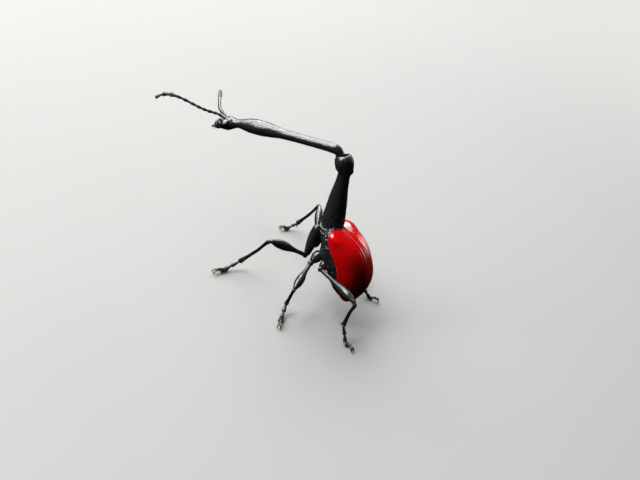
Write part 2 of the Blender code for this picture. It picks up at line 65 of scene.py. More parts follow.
# Head and neck, along one curved axis from the hinge on the prothorax
HINGE = (-2.6, 0.0, 13.08)
NECK_PITCH = math.radians(19.0)
HEAD_PITCH = math.radians(40.0)
BEND_START = 6.3
BEND_POWER = 1.6
FACE_LENGTH = 11.15
HEAD_END = 11.36
NECK_STEP = 0.1
NECK_STEPS = 114
NECK_TAIL = ((-2.38, 0.0, 12.1), (-2.44, 0.0, 12.45), (-2.57, 0.0, 12.71), (-2.8, 0.0, 12.87))
HEAD_GIRTHS = ((-1.0, 0.3), (-0.5, 0.31), (0.0, 0.34), (0.42, 0.385), (1.0, 0.38), (2.2, 0.36), (3.2, 0.36),
               (4.3, 0.365), (5.0, 0.385), (5.5, 0.44), (6.2, 0.53), (6.9, 0.59), (7.5, 0.6), (8.0, 0.55),
               (8.5, 0.45), (8.85, 0.375), (9.1, 0.345), (9.35, 0.36), (9.65, 0.45), (9.95, 0.53),
               (10.25, 0.55), (10.5, 0.51), (10.75, 0.45), (10.95, 0.41), (11.1, 0.36), (11.25, 0.28),
               (11.36, 0.19))
HEAD_WIDTHS = ((-1.0, 0.3), (-0.5, 0.31), (0.0, 0.34), (0.42, 0.385), (1.0, 0.38), (2.2, 0.36), (3.2, 0.36),
               (4.3, 0.365), (5.0, 0.385), (5.5, 0.44), (6.2, 0.54), (6.9, 0.6), (7.5, 0.61), (8.0, 0.56),
               (8.5, 0.46), (8.85, 0.38), (9.1, 0.35), (9.35, 0.38), (9.65, 0.48), (9.95, 0.52),
               (10.25, 0.49), (10.5, 0.42), (10.75, 0.41), (10.95, 0.44), (11.1, 0.43), (11.25, 0.36),
               (11.36, 0.26))
EYE_PLACE = 10.05
EYE_OUT = 0.44
EYE_SIZE = (0.35, 0.33, 0.36)
JAW_PLACE = 0.24

# Feelers, from the top of the face
FEELERS = {
    "left": ((-12.2, -0.18, 9.8), (-12.6, -0.27, 9.93), (-13.42, -0.5, 9.83), (-13.9, -0.68, 9.78),
             (-14.81, -0.83, 9.72), (-15.96, -1.07, 9.73), (-17.0, -1.4, 9.62), (-17.46, -1.66, 9.42),
             (-17.75, -2.05, 9.05)),
    "right": ((-12.2, 0.18, 9.8), (-12.75, 0.36, 9.76), (-13.42, 0.9, 9.5), (-14.05, 1.7, 9.22),
              (-14.63, 2.6, 8.99), (-15.2, 3.5, 8.83), (-15.66, 4.3, 8.65), (-16.03, 4.9, 8.47)),
}
FEELER_SHARES = (0.73, 0.33, 0.47, 0.39, 0.5, 0.53, 0.64, 0.52, 0.58, 0.56, 0.59)
FEELER_CLUB = 3

# Prothorax
PROTHORAX_AXIS = ((-0.4, 0.0, 5.7), (-0.63, 0.0, 6.76), (-0.98, 0.0, 8.4), (-1.35, 0.0, 10.1),
                  (-1.55, 0.0, 11.2), (-1.83, 0.0, 12.0), (-2.34, 0.0, 12.95))
PROTHORAX_GIRTHS = ((0.0, 0.9), (0.35, 0.95), (0.6, 1.03), (0.72, 1.03), (0.8, 0.91), (0.9, 1.0),
                    (1.06, 1.0), (1.2, 0.87), (1.45, 0.9), (1.75, 0.93), (2.3, 0.87), (2.9, 0.81),
                    (3.3, 0.775), (3.8, 0.71), (4.3, 0.645), (4.8, 0.57), (5.2, 0.525), (5.6, 0.49),
                    (5.82, 0.5), (6.0, 0.55), (6.15, 0.63), (6.3, 0.685), (6.55, 0.715), (6.85, 0.73),
                    (7.08, 0.705), (7.24, 0.64), (7.36, 0.54), (7.42, 0.43), (7.38, 0.35), (7.24, 0.3),
                    (7.0, 0.26), (6.8, 0.2))
KNOB_TILT = 0.2

# How much the shells are ringed, pitted and lumpy, by mm from the hinge or along the prothorax
NECK_RINGS = ((-1.0, 0.3), (0.6, 0.4), (4.6, 0.6), (5.8, 0.6), (6.6, 0.1), (8.0, 0.15), (8.9, 0.8),
              (9.4, 0.2), (11.4, 0.0))
NECK_PITS = ((-1.0, 0.3), (1.0, 0.25), (5.0, 0.3), (6.5, 0.45), (8.6, 0.4), (9.4, 0.9), (11.0, 1.1),
             (11.4, 0.2))
NECK_LUMPS = ((-1.0, 0.3), (4.5, 0.3), (6.8, 0.45), (8.6, 0.4), (9.3, 0.5), (9.9, 0.7), (10.4, 1.2),
              (11.2, 1.0), (11.4, 0.2))
PROTHORAX_RINGS = ((0.0, 0.0), (1.5, 0.1), (2.4, 0.3), (4.5, 0.45), (5.8, 0.9), (6.3, 0.3), (7.4, 0.0))
PROTHORAX_PITS = ((0.0, 1.3), (1.6, 1.4), (2.8, 0.9), (4.0, 0.35), (6.0, 0.15), (6.8, 0.3), (7.4, 0.0))
PROTHORAX_LUMPS = ((0.0, 1.2), (1.2, 1.8), (2.2, 1.1), (3.2, 0.4), (4.0, 0.15), (6.2, 0.3), (7.4, 0.5))
THORAX_PITS = ((-0.2, 1.0), (2.0, 0.8), (3.8, 0.5))
THORAX_LUMPS = 1.3

# Wing cases, along the body from the scutellum and above it
CASE_LENGTH = 6.7
CASE_CREST = 3.4
CASE_HEIGHT = 1.93
CASE_HALF_WIDTH = 1.85
CASE_SHOULDER = 1.5
CASE_EDGE = -0.25
CASE_ARCH = 2.6
CASE_TAPER = 3.2
CASE_CORNER = 0.5
CASE_START = -0.02
CASE_LIP = 0.24
CASE_SECTION = 0.9
CASE_TURNS = ((0.0, 99.0), (0.8, 98.0), (1.5, 92.5), (2.3, 88.0), (3.4, 88.0), (4.3, 91.0), (5.2, 95.0),
              (6.7, 98.0))
CALLUS = (0.62, 0.66)

# Trunk: widths and depths in mm along the body, and the lengths of its parts
THORAX_SPAN = (-0.15, 3.75)
THORAX_WIDTHS = ((-0.2, 0.8), (0.1, 1.12), (0.5, 1.38), (1.2, 1.55), (2.2, 1.66), (3.2, 1.64), (3.8, 1.55))
THORAX_DEPTHS = ((-0.2, -0.9), (0.3, -1.35), (1.2, -1.75), (2.3, -2.05), (3.0, -1.95), (3.8, -1.5))
SCUTELLUM_LENGTH = 0.36
SCUTELLUM_HALF_WIDTH = 0.17
BELLY_SPAN = (3.35, 6.42)
BELLY_REACH = 3.1
BELLY_WIDTH = 1.62
BELLY_PLATE = 0.62
LEDGE = -0.4

# Legs
FEMUR_LENGTH = {"front": 3.95, "middle": 3.2, "hind": 4.5}
TIBIA_LENGTH = {"front": 4.55, "middle": 2.6, "hind": 3.45}
FEMUR_RADIUS = {"front": 0.39, "middle": 0.37, "hind": 0.35}
STANCE = {
    "front_left": ((-1.5, -0.5, 6.5), (-1.28, -0.85, 3.45), (-0.19, -0.56, 0.81),
                   (-5.57, -3.23, 0.79), (-6.57, -5.38)),
    "front_right": ((-1.5, 0.5, 6.5), (-1.28, 0.85, 3.45), (-0.16, 0.41, 0.9),
                    (-4.82, 5.32, 0.83), (-5.8, 4.1)),
    "middle_left": ((-0.25, -0.6, 4.5), (-0.48, -1.6, 3.76), (0.15, -0.78, 0.6),
                    (-0.24, -4.01, 0.68), (0.57, -6.16)),
    "middle_right": ((-0.25, 0.6, 4.5), (-0.48, 1.6, 3.76), (0.15, 0.78, 0.6),
                     (-0.24, 4.01, 0.68), (0.57, 6.16)),
    "hind_left": ((0.72, -0.8, 4.4), (0.43, -1.75, 3.88), (0.44, -0.37, 0.81),
                  (4.48, -2.78, 1.2), (6.23, -3.48)),
    "hind_right": ((0.72, 0.8, 4.4), (0.43, 1.75, 3.88), (-0.24, 0.95, 0.2),
                   (3.6, 3.0, 0.9), (5.38, 3.51)),
}
COXA_GIRTHS = {
    "front": ((0.0, 0.32), (0.2, 0.43), (0.45, 0.45), (0.72, 0.37), (0.9, 0.27), (1.0, 0.23)),
    "middle": ((0.0, 0.4), (0.3, 0.46), (0.6, 0.42), (0.85, 0.3), (1.0, 0.24)),
    "hind": ((0.0, 0.4), (0.35, 0.44), (0.65, 0.4), (0.85, 0.3), (1.0, 0.24)),
}
FEMUR_SHAPE = ((0.0, 0.17), (0.1, 0.18), (0.3, 0.19), (0.42, 0.26), (0.55, 0.36), (0.68, 0.39), (0.8, 0.36),
               (0.89, 0.27), (0.95, 0.2), (1.0, 0.19))
TIBIA_SHAPE = ((0.0, 0.14), (0.05, 0.17), (0.12, 0.145), (0.5, 0.135), (0.8, 0.155), (0.93, 0.2), (1.0, 0.21))
CONE_SHAPE = ((0.0, 0.5), (0.15, 0.55), (0.6, 0.85), (0.88, 1.0), (1.0, 0.7))
FOOT_BEND = (0.28, 0.42)
FOOT_BEND_RISE = 0.14
PAD_PLACE = 0.56
CLAW_KNOTS = ((0.8, 0.04, 0.32), (0.88, 0.08, 0.37), (0.955, 0.11, 0.28), (0.99, 0.13, 0.1),
              (0.985, 0.13, 0.02))
CLAW_GIRTHS = ((0.0, 0.085), (0.35, 0.07), (0.7, 0.045), (1.0, 0.014))

# Hairs: radii in mm, and hairs on a square metre
CLUB_HAIR_RADIUS = 0.0018
CLUB_HAIR_DENSITY = 800e6
BRISTLE_RADIUS = 0.006
SOLE_HAIR_DENSITY = 260e6

# Colours of small parts, each with the one it fades to
EYE_BASE = (0.004, 0.003, 0.003, 1.0)
EYE_BROWN = (0.006, 0.0035, 0.002, 1.0)
EYE_BLACK = (0.001, 0.001, 0.0014, 1.0)
CLUB_BASE = (0.015, 0.009, 0.006, 1.0)
CLUB_BROWN = (0.022, 0.012, 0.008, 1.0)
CLUB_DARK = (0.01, 0.006, 0.005, 1.0)
NO_LIGHT = (0.0, 0.0, 0.0, 1.0)

# Camera, floor and lights, each light with its place and size in metres
VIEW_AZIMUTH = math.radians(12.7)
VIEW_ELEVATION = math.radians(37.5)
VIEW_ROLL = math.radians(26.5)
VIEW_DISTANCE = 56.9
VIEW_AIM = (4.8, 0.0, 4.9)
VIEW_LENS = 39.375
FLOOR_FADE = (0.05, 0.16)
LIGHT_AIM = (0.0, 0.0, 0.006)
LIGHTS = {
    "sky": ((-0.15, 0.02, 0.185), (0.32, 0.13)),
    "front": ((-0.225, 0.04, 0.085), (0.2, 0.07)),
    "key": ((-0.1, -0.04, 0.17), (0.04, 0.04)),
    "rim": ((-0.09, 0.16, 0.1), (0.2, 0.05)),
    "kick": ((0.1, 0.2, 0.06), (0.14, 0.06)),
    "glint": ((-0.14, -0.12, 0.1), (0.055, 0.055)),
}
WORLD_IN_GLOSS = 0.03

BODY = (Matrix.Translation(Vector((SCUTELLUM_AHEAD, 0.0, SCUTELLUM_HEIGHT)) * MM)
        @ Matrix.Rotation(BODY_PITCH, 4, "Y"))
BODY_TURN = np.array(BODY.to_3x3())
BODY_PLACE = np.array(BODY.translation)
LEFT = np.array((0.0, -1.0, 0.0))


# Places and smooth lines

def at(point):
    """A point given in mm from the floor below the scutellum, in metres."""
    return np.array((point[0] + SCUTELLUM_AHEAD, point[1], point[2])) * MM


def on_body(points):
    """Points given in mm along, across and above the body, in metres in the frame."""
    return (np.asarray(points) * MM) @ BODY_TURN.T + BODY_PLACE


def flow(pairs, places):
    """Values at places on a smooth line through (place, value) pairs."""
    stops, values = np.array(pairs, float).T
    slopes = np.gradient(values, stops)
    places = np.clip(places, stops[0], stops[-1])
    cell = np.clip(np.searchsorted(stops, places) - 1, 0, len(stops) - 2)
    span = stops[cell + 1] - stops[cell]
    share = (places - stops[cell]) / span
    return (values[cell] * (2 * share ** 3 - 3 * share ** 2 + 1)
            + values[cell + 1] * (3 * share ** 2 - 2 * share ** 3)
            + span * slopes[cell] * (share ** 3 - 2 * share ** 2 + share)
            + span * slopes[cell + 1] * (share ** 3 - share ** 2))


def bump(value, centre, spread):
    """A soft hump of height 1 round a centre."""
    return np.exp(-((np.asarray(value) - centre) / spread) ** 2)


def unit(vectors):
    """Vectors of length one."""
    return vectors / np.linalg.norm(vectors, axis=-1, keepdims=True)


class Line:
    """A smooth curve through knots, read by the distance along it in metres."""

    def __init__(self, knots):
        knots = np.array(knots, float)
        chord = np.r_[0.0, np.cumsum(np.linalg.norm(np.diff(knots, axis=0), axis=1))]
        fine = np.linspace(0.0, chord[-1], 600)
        self.curve = np.stack([flow(np.c_[chord, knots[:, axis]], fine) for axis in range(3)], axis=1)
        steps = np.linalg.norm(np.diff(self.curve, axis=0), axis=1)
        self.reach = np.r_[0.0, np.cumsum(steps)]
        self.length = self.reach[-1]

    def at(self, places):
        """The points at distances along the curve."""
        return np.stack([np.interp(places, self.reach, self.curve[:, axis]) for axis in range(3)], axis=-1)


# Meshes

def sweep(path, guide, wide, high=None, sides=32):
    """Rings round a path, with half widths along the guide and half heights square to it."""
    high = wide if high is None else high
    heading = unit(np.gradient(path, axis=0))
    side = unit(guide - heading * (heading @ guide)[:, None])
    rise = np.cross(heading, side)
    angle = np.linspace(0.0, 2 * math.pi, sides, endpoint=False)
    across = (wide[:, None] * np.cos(angle))[..., None] * side[:, None]
    upward = (high[:, None] * np.sin(angle))[..., None] * rise[:, None]
    return path[:, None] + across + upward


def round_places(length, first, last, count):
    """Distances along a rod that crowd in its round ends."""
    turn = np.linspace(0.12, math.pi / 2, 7)[:-1]
    near = first * (1 - np.cos(turn))
    far = length - last * (1 - np.cos(turn[::-1]))
    return np.concatenate((near, np.linspace(first, length - last, count), far))


def rod(line, girths, guide, count=40, sides=24, flat=1.0):
    """Rings of a rod with round ends, from (share, mm) pairs of its girth, and their places."""
    first, last = girths[0][1] * MM, girths[-1][1] * MM
    places = round_places(line.length, first, last, count)
    wide = flow(girths, places / line.length) * MM
    wide *= np.sqrt(1 - np.clip(1 - places / first, 0, 1) ** 2)
    wide *= np.sqrt(1 - np.clip(1 - (line.length - places) / last, 0, 1) ** 2)
    return sweep(line.at(places), guide, wide * flat, wide, sides), places


class Shells:
    """Closed shells gathered for one piece, with the marks that trees and finishes read."""

    def __init__(self):
        self.points = []
        self.faces = []
        self.slots = []
        self.marks = {}
        self.count = 0

    def add(self, rings, slot=0, **marks):
        """Adds rings of points, closed by a pole at each end. A mark has one value or one a ring."""
        rows, sides = rings.shape[:2]
        near, far = self.count + rows * sides, self.count + rows * sides + 1
        row, side = np.mgrid[0:rows - 1, 0:sides]
        after = (side + 1) % sides
        quads = np.stack((row * sides + side, row * sides + after, (row + 1) * sides + after,
                          (row + 1) * sides + side), axis=-1).reshape(-1, 4) + self.count
        self.faces += quads.tolist()
        tail = self.count + (rows - 1) * sides
        for index in range(sides):
            beyond = (index + 1) % sides
            self.faces.append([near, self.count + beyond, self.count + index])
            self.faces.append([far, tail + index, tail + beyond])
        self.points += [rings.reshape(-1, 3), rings[[0, -1]].mean(axis=1)]
        self.slots += [slot] * (len(quads) + 2 * sides)
        for name in set(marks) | set(self.marks):
            value = np.broadcast_to(marks.get(name, 0.0), (rows,))
            spread = np.r_[np.repeat(value, sides), value[0], value[-1]]
            before = self.marks.get(name, np.zeros(self.count))
            self.marks[name] = np.concatenate((before, spread))
        self.count += rows * sides + 2

    def make(self, name, finishes):
        """The piece, with its normals outwards."""
        mesh = bpy.data.meshes.new(name)
        mesh.from_pydata(np.concatenate(self.points).tolist(), [], self.faces)
        mesh.polygons.foreach_set("material_index", self.slots)
        for mark, values in self.marks.items():
            mesh.attributes.new(mark, "FLOAT", "POINT").data.foreach_set("value", values.astype(np.float32))
        return add_piece(name, outward(mesh), finishes)


def outward(mesh):
    """The mesh with all its faces turned outwards and smooth."""
    work = bmesh.new()
    work.from_mesh(mesh)
    bmesh.ops.recalc_face_normals(work, faces=work.faces)
    work.to_mesh(mesh)
    work.free()
    mesh.shade_smooth()
    return mesh


def add_piece(name, mesh, finishes):
    """An object at the origin that holds a mesh and its finishes."""
    piece = bpy.data.objects.new(name, mesh)
    bpy.context.scene.collection.objects.link(piece)
    for finish in finishes:
        mesh.materials.append(finish)
    return piece


def dress(piece, slot, *nodes):
    """Fixes a finished piece to the body in place of its nodes."""
    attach(piece, "root")
    if nodes:
        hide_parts(*nodes)


# Nodes

def fit(tree, socket, value):
    """Links a value that is a socket, or sets a plain one."""
    if isinstance(value, bpy.types.NodeSocket):
        tree.links.new(value, socket)
    else:
        socket.default_value = value


def node(tree, kind, inputs=None, **settings):
    """A new node with its settings, and its inputs by name or number."""
    made = tree.nodes.new(kind)
    for name, value in settings.items():
        setattr(made, name, value)
    for key, value in (inputs or {}).items():
        fit(tree, made.inputs[key], value)
    return made


def calc(tree, operation, *values):
    """The result of a Math node."""
    return node(tree, "ShaderNodeMath", dict(enumerate(values)), operation=operation).outputs[0]


def ramp(tree, value, start, end, low=0.0, high=1.0):
    """A value eased from low to high while it passes from start to end."""
    inputs = {"Value": value, "From Min": start, "From Max": end, "To Min": low, "To Max": high}
    return node(tree, "ShaderNodeMapRange", inputs, interpolation_type="SMOOTHSTEP").outputs[0]


def mark(tree, name):
    """A mark stored on the mesh, read in a geometry tree."""
    read = node(tree, "GeometryNodeInputNamedAttribute", {"Name": name}, data_type="FLOAT")
    return read.outputs["Attribute"]


def along_normal(tree, depth):
    """An offset along the surface normal."""
    normal = node(tree, "GeometryNodeInputNormal").outputs[0]
    return node(tree, "ShaderNodeVectorMath", {0: normal, "Scale": depth}, operation="SCALE").outputs[0]


def geometry_tree(name, inputs):
    """A geometry tree with named inputs, and its input and output nodes."""
    tree = bpy.data.node_groups.new(name, "GeometryNodeTree")
    tree.interface.new_socket("Geometry", in_out="OUTPUT", socket_type="NodeSocketGeometry")
    tree.interface.new_socket("Geometry", in_out="INPUT", socket_type="NodeSocketGeometry")
    for label, kind in inputs:
        tree.interface.new_socket(label, in_out="INPUT", socket_type="NodeSocket" + kind)
    tree.interface.new_socket("Material", in_out="INPUT", socket_type="NodeSocketMaterial")
    return tree, node(tree, "NodeGroupInput").outputs, node(tree, "NodeGroupOutput").inputs


def close_tree(tree, geometry, given, result):
    """Ends a tree in Realize Instances and Set Material."""
    real = node(tree, "GeometryNodeRealizeInstances", {0: geometry}).outputs[0]
    painted = node(tree, "GeometryNodeSetMaterial", {"Geometry": real, "Material": given["Material"]})
    fit(tree, result[0], painted.outputs[0])


def grow(piece, tree, values):
    """Runs a geometry tree on a piece and keeps the plain mesh that comes out."""
    change = piece.modifiers.new(tree.name, "NODES")
    change.node_group = tree
    for item in tree.interface.items_tree:
        if item.in_out == "INPUT" and item.name in values:
            change[item.identifier] = values[item.name]
    bpy.context.view_layer.update()
    graph = bpy.context.evaluated_depsgraph_get()
    mesh = bpy.data.meshes.new_from_object(piece.evaluated_get(graph))
    piece.modifiers.clear()
    piece.data = mesh
    mesh.shade_smooth()
    return piece


# Geometry trees

def sculpting_tree():
    """Sinks rings and pits into a shell, and raises lumps, where its marks ask for them."""
    name = "Rings and pits"
    if name in bpy.data.node_groups:
        return bpy.data.node_groups[name]
    tree, given, result = geometry_tree(name, (("Ring Spacing", "Float"), ("Ring Depth", "Float"),
                                               ("Pit Spacing", "Float"), ("Pit Depth", "Float"),
                                               ("Lump Height", "Float")))
    place = node(tree, "GeometryNodeInputPosition").outputs[0]
    sway = node(tree, "ShaderNodeTexNoise", {"Vector": place, "Scale": 700.0, "Detail": 2.0}).outputs[0]
    turns = calc(tree, "DIVIDE", mark(tree, "along"), given["Ring Spacing"])
    turns = calc(tree, "MULTIPLY_ADD", sway, 3.0, turns)
    wave = calc(tree, "SINE", calc(tree, "MULTIPLY", turns, 2 * math.pi))
    ring = ramp(tree, wave, -0.2, 1.0)
    patchy = node(tree, "ShaderNodeTexNoise", {"Vector": place, "Scale": 1900.0, "Detail": 3.0}).outputs[0]
    ring = calc(tree, "MULTIPLY", ring, ramp(tree, patchy, 0.38, 0.6, 0.1, 1.0))
    ring = calc(tree, "MULTIPLY", ring, calc(tree, "MULTIPLY", given["Ring Depth"], mark(tree, "ringed")))
    scale = calc(tree, "DIVIDE", 1.0, given["Pit Spacing"])
    cells = node(tree, "ShaderNodeTexVoronoi", {"Vector": place, "Scale": scale}).outputs["Distance"]
    pit = ramp(tree, cells, 0.12, 0.42, 1.0, 0.0)
    pit = calc(tree, "MULTIPLY", pit, calc(tree, "MULTIPLY", given["Pit Depth"], mark(tree, "pitted")))
    lump = node(tree, "ShaderNodeTexNoise", {"Vector": place, "Scale": 3000.0, "Detail": 2.0}).outputs[0]
    lump = calc(tree, "MULTIPLY", ramp(tree, lump, 0.3, 0.7, -0.8, 0.8), given["Lump Height"])
    lump = calc(tree, "MULTIPLY", lump, mark(tree, "lumpy"))
    depth = calc(tree, "SUBTRACT", lump, calc(tree, "ADD", ring, pit))
    moved = node(tree, "GeometryNodeSetPosition",
                 {"Geometry": given["Geometry"], "Offset": along_normal(tree, depth)})
    close_tree(tree, moved.outputs[0], given, result)
    return tree


def pit_row_tree():
    """Sinks rows of pits, each row in its own groove, along a wing case."""
    tree, given, result = geometry_tree("Pit rows", (("Groove Depth", "Float"), ("Pit Depth", "Float"),
                                                    ("Pit Spacing", "Float")))
    place = node(tree, "GeometryNodeInputPosition").outputs[0]
    sway = node(tree, "ShaderNodeTexNoise", {"Vector": place, "Scale": 1500.0, "Detail": 1.0}).outputs[0]
    row = mark(tree, "row")
    nearest = calc(tree, "ROUND", row)
    aside = calc(tree, "ABSOLUTE", calc(tree, "SUBTRACT", row, nearest))
    groove = ramp(tree, aside, 0.02, 0.36, 1.0, 0.0)
    stagger = calc(tree, "MULTIPLY_ADD", sway, 1.6, calc(tree, "MULTIPLY", nearest, 0.5))
    beat = calc(tree, "ADD", calc(tree, "DIVIDE", mark(tree, "along"), given["Pit Spacing"]), stagger)
    beat = calc(tree, "ABSOLUTE", calc(tree, "SUBTRACT", calc(tree, "FRACT", beat), 0.5))
    pit = calc(tree, "MULTIPLY", ramp(tree, beat, 0.08, 0.4, 1.0, 0.0),
               ramp(tree, aside, 0.04, 0.3, 1.0, 0.0))
    uneven = node(tree, "ShaderNodeTexNoise", {"Vector": place, "Scale": 5200.0, "Detail": 1.0}).outputs[0]
    pit = calc(tree, "MULTIPLY", pit, ramp(tree, uneven, 0.32, 0.62, 0.25, 1.0))
    depth = calc(tree, "ADD", calc(tree, "MULTIPLY", groove, given["Groove Depth"]),
                 calc(tree, "MULTIPLY", pit, given["Pit Depth"]))
    depth = calc(tree, "MULTIPLY", calc(tree, "MULTIPLY", depth, mark(tree, "relief")), -1.0)
    # Mask of the pits and grooves, stored for the painted shade that darkens them.
    hollow = calc(tree, "MULTIPLY", calc(tree, "MAXIMUM", pit, calc(tree, "MULTIPLY", groove, 0.45)),
                  mark(tree, "relief"))
    stored = node(tree, "GeometryNodeStoreNamedAttribute",
                  {"Geometry": given["Geometry"], "Name": "hollow", "Value": hollow},
                  data_type="FLOAT", domain="POINT")
    moved = node(tree, "GeometryNodeSetPosition",
                 {"Geometry": stored.outputs[0], "Offset": along_normal(tree, depth)})
    close_tree(tree, moved.outputs[0], given, result)
    return tree


def joint_chain_tree():
    """Sets a turned joint on each point, as long, thick and tilted as the point says."""
    tree, given, result = geometry_tree("Chain of joints", (("Sides", "Int"), ("Steps", "Int")))
    stem = node(tree, "GeometryNodeCurvePrimitiveLine", {"End": (0.0, 0.0, 1.0)}).outputs[0]
    stem = node(tree, "GeometryNodeResampleCurve", {"Curve": stem, "Count": given["Steps"]}).outputs[0]
    share = node(tree, "GeometryNodeSplineParameter").outputs["Factor"]
    turned = node(tree, "ShaderNodeFloatCurve", {"Value": share})
    profile = turned.mapping.curves[0]
    for knot, height in zip(profile.points, (0.05, 0.05)):
        knot.location = (knot.location.x, height)
    for place, height in ((0.03, 0.46), (0.1, 0.6), (0.25, 0.64), (0.5, 0.78), (0.75, 0.97), (0.88, 1.0),
                          (0.96, 0.8)):
        profile.points.new(place, height)
    turned.mapping.update()
    circle = node(tree, "GeometryNodeCurvePrimitiveCircle", {"Resolution": given["Sides"], "Radius": 1.0})
    joint = node(tree, "GeometryNodeCurveToMesh", {"Curve": stem, "Profile Curve": circle.outputs[0],
                                                  "Scale": turned.outputs[0], "Fill Caps": True}).outputs[0]
    tilt = node(tree, "GeometryNodeInputNamedAttribute", {"Name": "heading"}, data_type="FLOAT_VECTOR")
    turn = node(tree, "FunctionNodeAlignRotationToVector", {"Vector": tilt.outputs["Attribute"]}, axis="Z")
    girth = mark(tree, "girth")
    size = node(tree, "ShaderNodeCombineXYZ", {0: girth, 1: girth, 2: mark(tree, "length")})
    joints = node(tree, "GeometryNodeInstanceOnPoints",
                  {"Points": given["Geometry"], "Instance": joint, "Rotation": turn.outputs[0],
                   "Scale": size.outputs[0]})
    close_tree(tree, joints.outputs[0], given, result)
    return tree


def bristle_tree():
    """Stands fine bristles on a surface where its mark asks for them."""
    name = "Bristles"
    if name in bpy.data.node_groups:
        return bpy.data.node_groups[name]
    tree, given, result = geometry_tree(name, (("Density", "Float"), ("Length", "Float"), ("Radius", "Float"),
                                               ("Lean", "Vector"), ("Spread", "Vector"), ("Seed", "Int")))
    wanted = calc(tree, "MULTIPLY", given["Density"], mark(tree, "hairy"))
    roots = node(tree, "GeometryNodeDistributePointsOnFaces",
                 {"Mesh": given["Geometry"], "Density": wanted, "Seed": given["Seed"]})
    lean = node(tree, "ShaderNodeVectorMath",
                {0: roots.outputs["Normal"], 1: given["Spread"], 2: given["Lean"]}, operation="MULTIPLY_ADD")
    turn = node(tree, "FunctionNodeAlignRotationToVector", {"Vector": lean.outputs[0]}, axis="Z")
    chance = node(tree, "FunctionNodeRandomValue", {2: 0.6, 3: 1.25, "Seed": given["Seed"]},
                  data_type="FLOAT")
    tall = calc(tree, "MULTIPLY", given["Length"], chance.outputs[1])
    size = node(tree, "ShaderNodeCombineXYZ", {0: given["Radius"], 1: given["Radius"], 2: tall})
    hair = node(tree, "GeometryNodeMeshCone", {"Vertices": 4, "Side Segments": 2, "Radius Top": 0.12,
                                              "Radius Bottom": 1.0, "Depth": 1.0})
    hairs = node(tree, "GeometryNodeInstanceOnPoints",
                 {"Points": roots.outputs["Points"], "Instance": hair.outputs[0], "Rotation": turn.outputs[0],
                  "Scale": size.outputs[0]})
    close_tree(tree, hairs.outputs[0], given, result)
    return tree


def lens_tree():
    """Divides a dome into six-sided lenses, each raised a little."""
    tree, given, result = geometry_tree("Eye lenses", (("Rows", "Int"), ("Rise", "Float"), ("Top", "Float")))
    ball = node(tree, "GeometryNodeMeshIcoSphere", {"Radius": 1.0, "Subdivisions": given["Rows"]})
    cells = node(tree, "GeometryNodeDualMesh", {"Mesh": ball.outputs[0]})
    raised = node(tree, "GeometryNodeExtrudeMesh",
                  {"Mesh": cells.outputs[0], "Offset Scale": given["Rise"], "Individual": True}, mode="FACES")
    topped = node(tree, "GeometryNodeScaleElements",
                  {"Geometry": raised.outputs["Mesh"], "Selection": raised.outputs["Top"],
                   "Scale": given["Top"]}, domain="FACE")
    close_tree(tree, topped.outputs[0], given, result)
    return tree


# Finishes

def texture_group():
    """Fine pits and ripples that all the shells share."""
    name = "Fine shell texture"
    if name in bpy.data.node_groups:
        return bpy.data.node_groups[name]
    tree = bpy.data.node_groups.new(name, "ShaderNodeTree")
    for label, kind in (("Vector", "Vector"), ("Pit Scale", "Float"), ("Pits", "Float"),
                        ("Ripple Scale", "Float"), ("Ripples", "Float")):
        tree.interface.new_socket(label, in_out="INPUT", socket_type="NodeSocket" + kind)
    for label in ("Height", "Wear"):
        tree.interface.new_socket(label, in_out="OUTPUT", socket_type="NodeSocketFloat")
    given = node(tree, "NodeGroupInput").outputs
    result = node(tree, "NodeGroupOutput").inputs
    cells = node(tree, "ShaderNodeTexVoronoi", {"Vector": given["Vector"], "Scale": given["Pit Scale"]})
    rise = ramp(tree, cells.outputs["Distance"], 0.05, 0.4)
    pits = calc(tree, "MULTIPLY", calc(tree, "SUBTRACT", rise, 1.0), given["Pits"])
    noise = node(tree, "ShaderNodeTexNoise", {"Vector": given["Vector"], "Scale": given["Ripple Scale"],
                                             "Detail": 4.0, "Roughness": 0.55})
    ripples = calc(tree, "MULTIPLY", noise.outputs[0], given["Ripples"])
    fit(tree, result["Height"], calc(tree, "ADD", pits, ripples))
    broad = node(tree, "ShaderNodeTexNoise", {"Vector": given["Vector"], "Scale": 420.0, "Detail": 3.0})
    fit(tree, result["Wear"], ramp(tree, broad.outputs[0], 0.35, 0.7))
    return tree


def surface(name, values):
    """A material with a Principled shader, and its tree and shader."""
    made = bpy.data.materials.new(name)
    made.use_nodes = True
    shader = made.node_tree.nodes["Principled BSDF"]
    for label, value in values.items():
        shader.inputs[label].default_value = value
    made.diffuse_color = values["Base Color"]
    return made, made.node_tree, shader


def textured(tree, shader, pit_spacing, pits, ripples, depth):
    """Feeds the shared texture to a shader's normal, and gives back its outputs."""
    spot = node(tree, "ShaderNodeTexCoord").outputs["Object"]
    group = node(tree, "ShaderNodeGroup", node_tree=texture_group())
    for label, value in (("Vector", spot), ("Pit Scale", 1.0 / pit_spacing), ("Pits", pits),
                         ("Ripple Scale", 9000.0), ("Ripples", ripples)):
        fit(tree, group.inputs[label], value)
    relief = node(tree, "ShaderNodeBump",
                  {"Height": group.outputs["Height"], "Distance": depth, "Strength": 1.0})
    fit(tree, shader.inputs["Normal"], relief.outputs[0])
    return group.outputs


def mixed(tree, factor, first, second):
    """A colour mixed from two."""
    return node(tree, "ShaderNodeMix", {0: factor, 6: first, 7: second}, data_type="RGBA").outputs[2]


def known(build):
    """A finish that is built once and then reused."""
    def reuse():
        name = build.__name__
        return bpy.data.materials.get(name) or build(name)
    return reuse


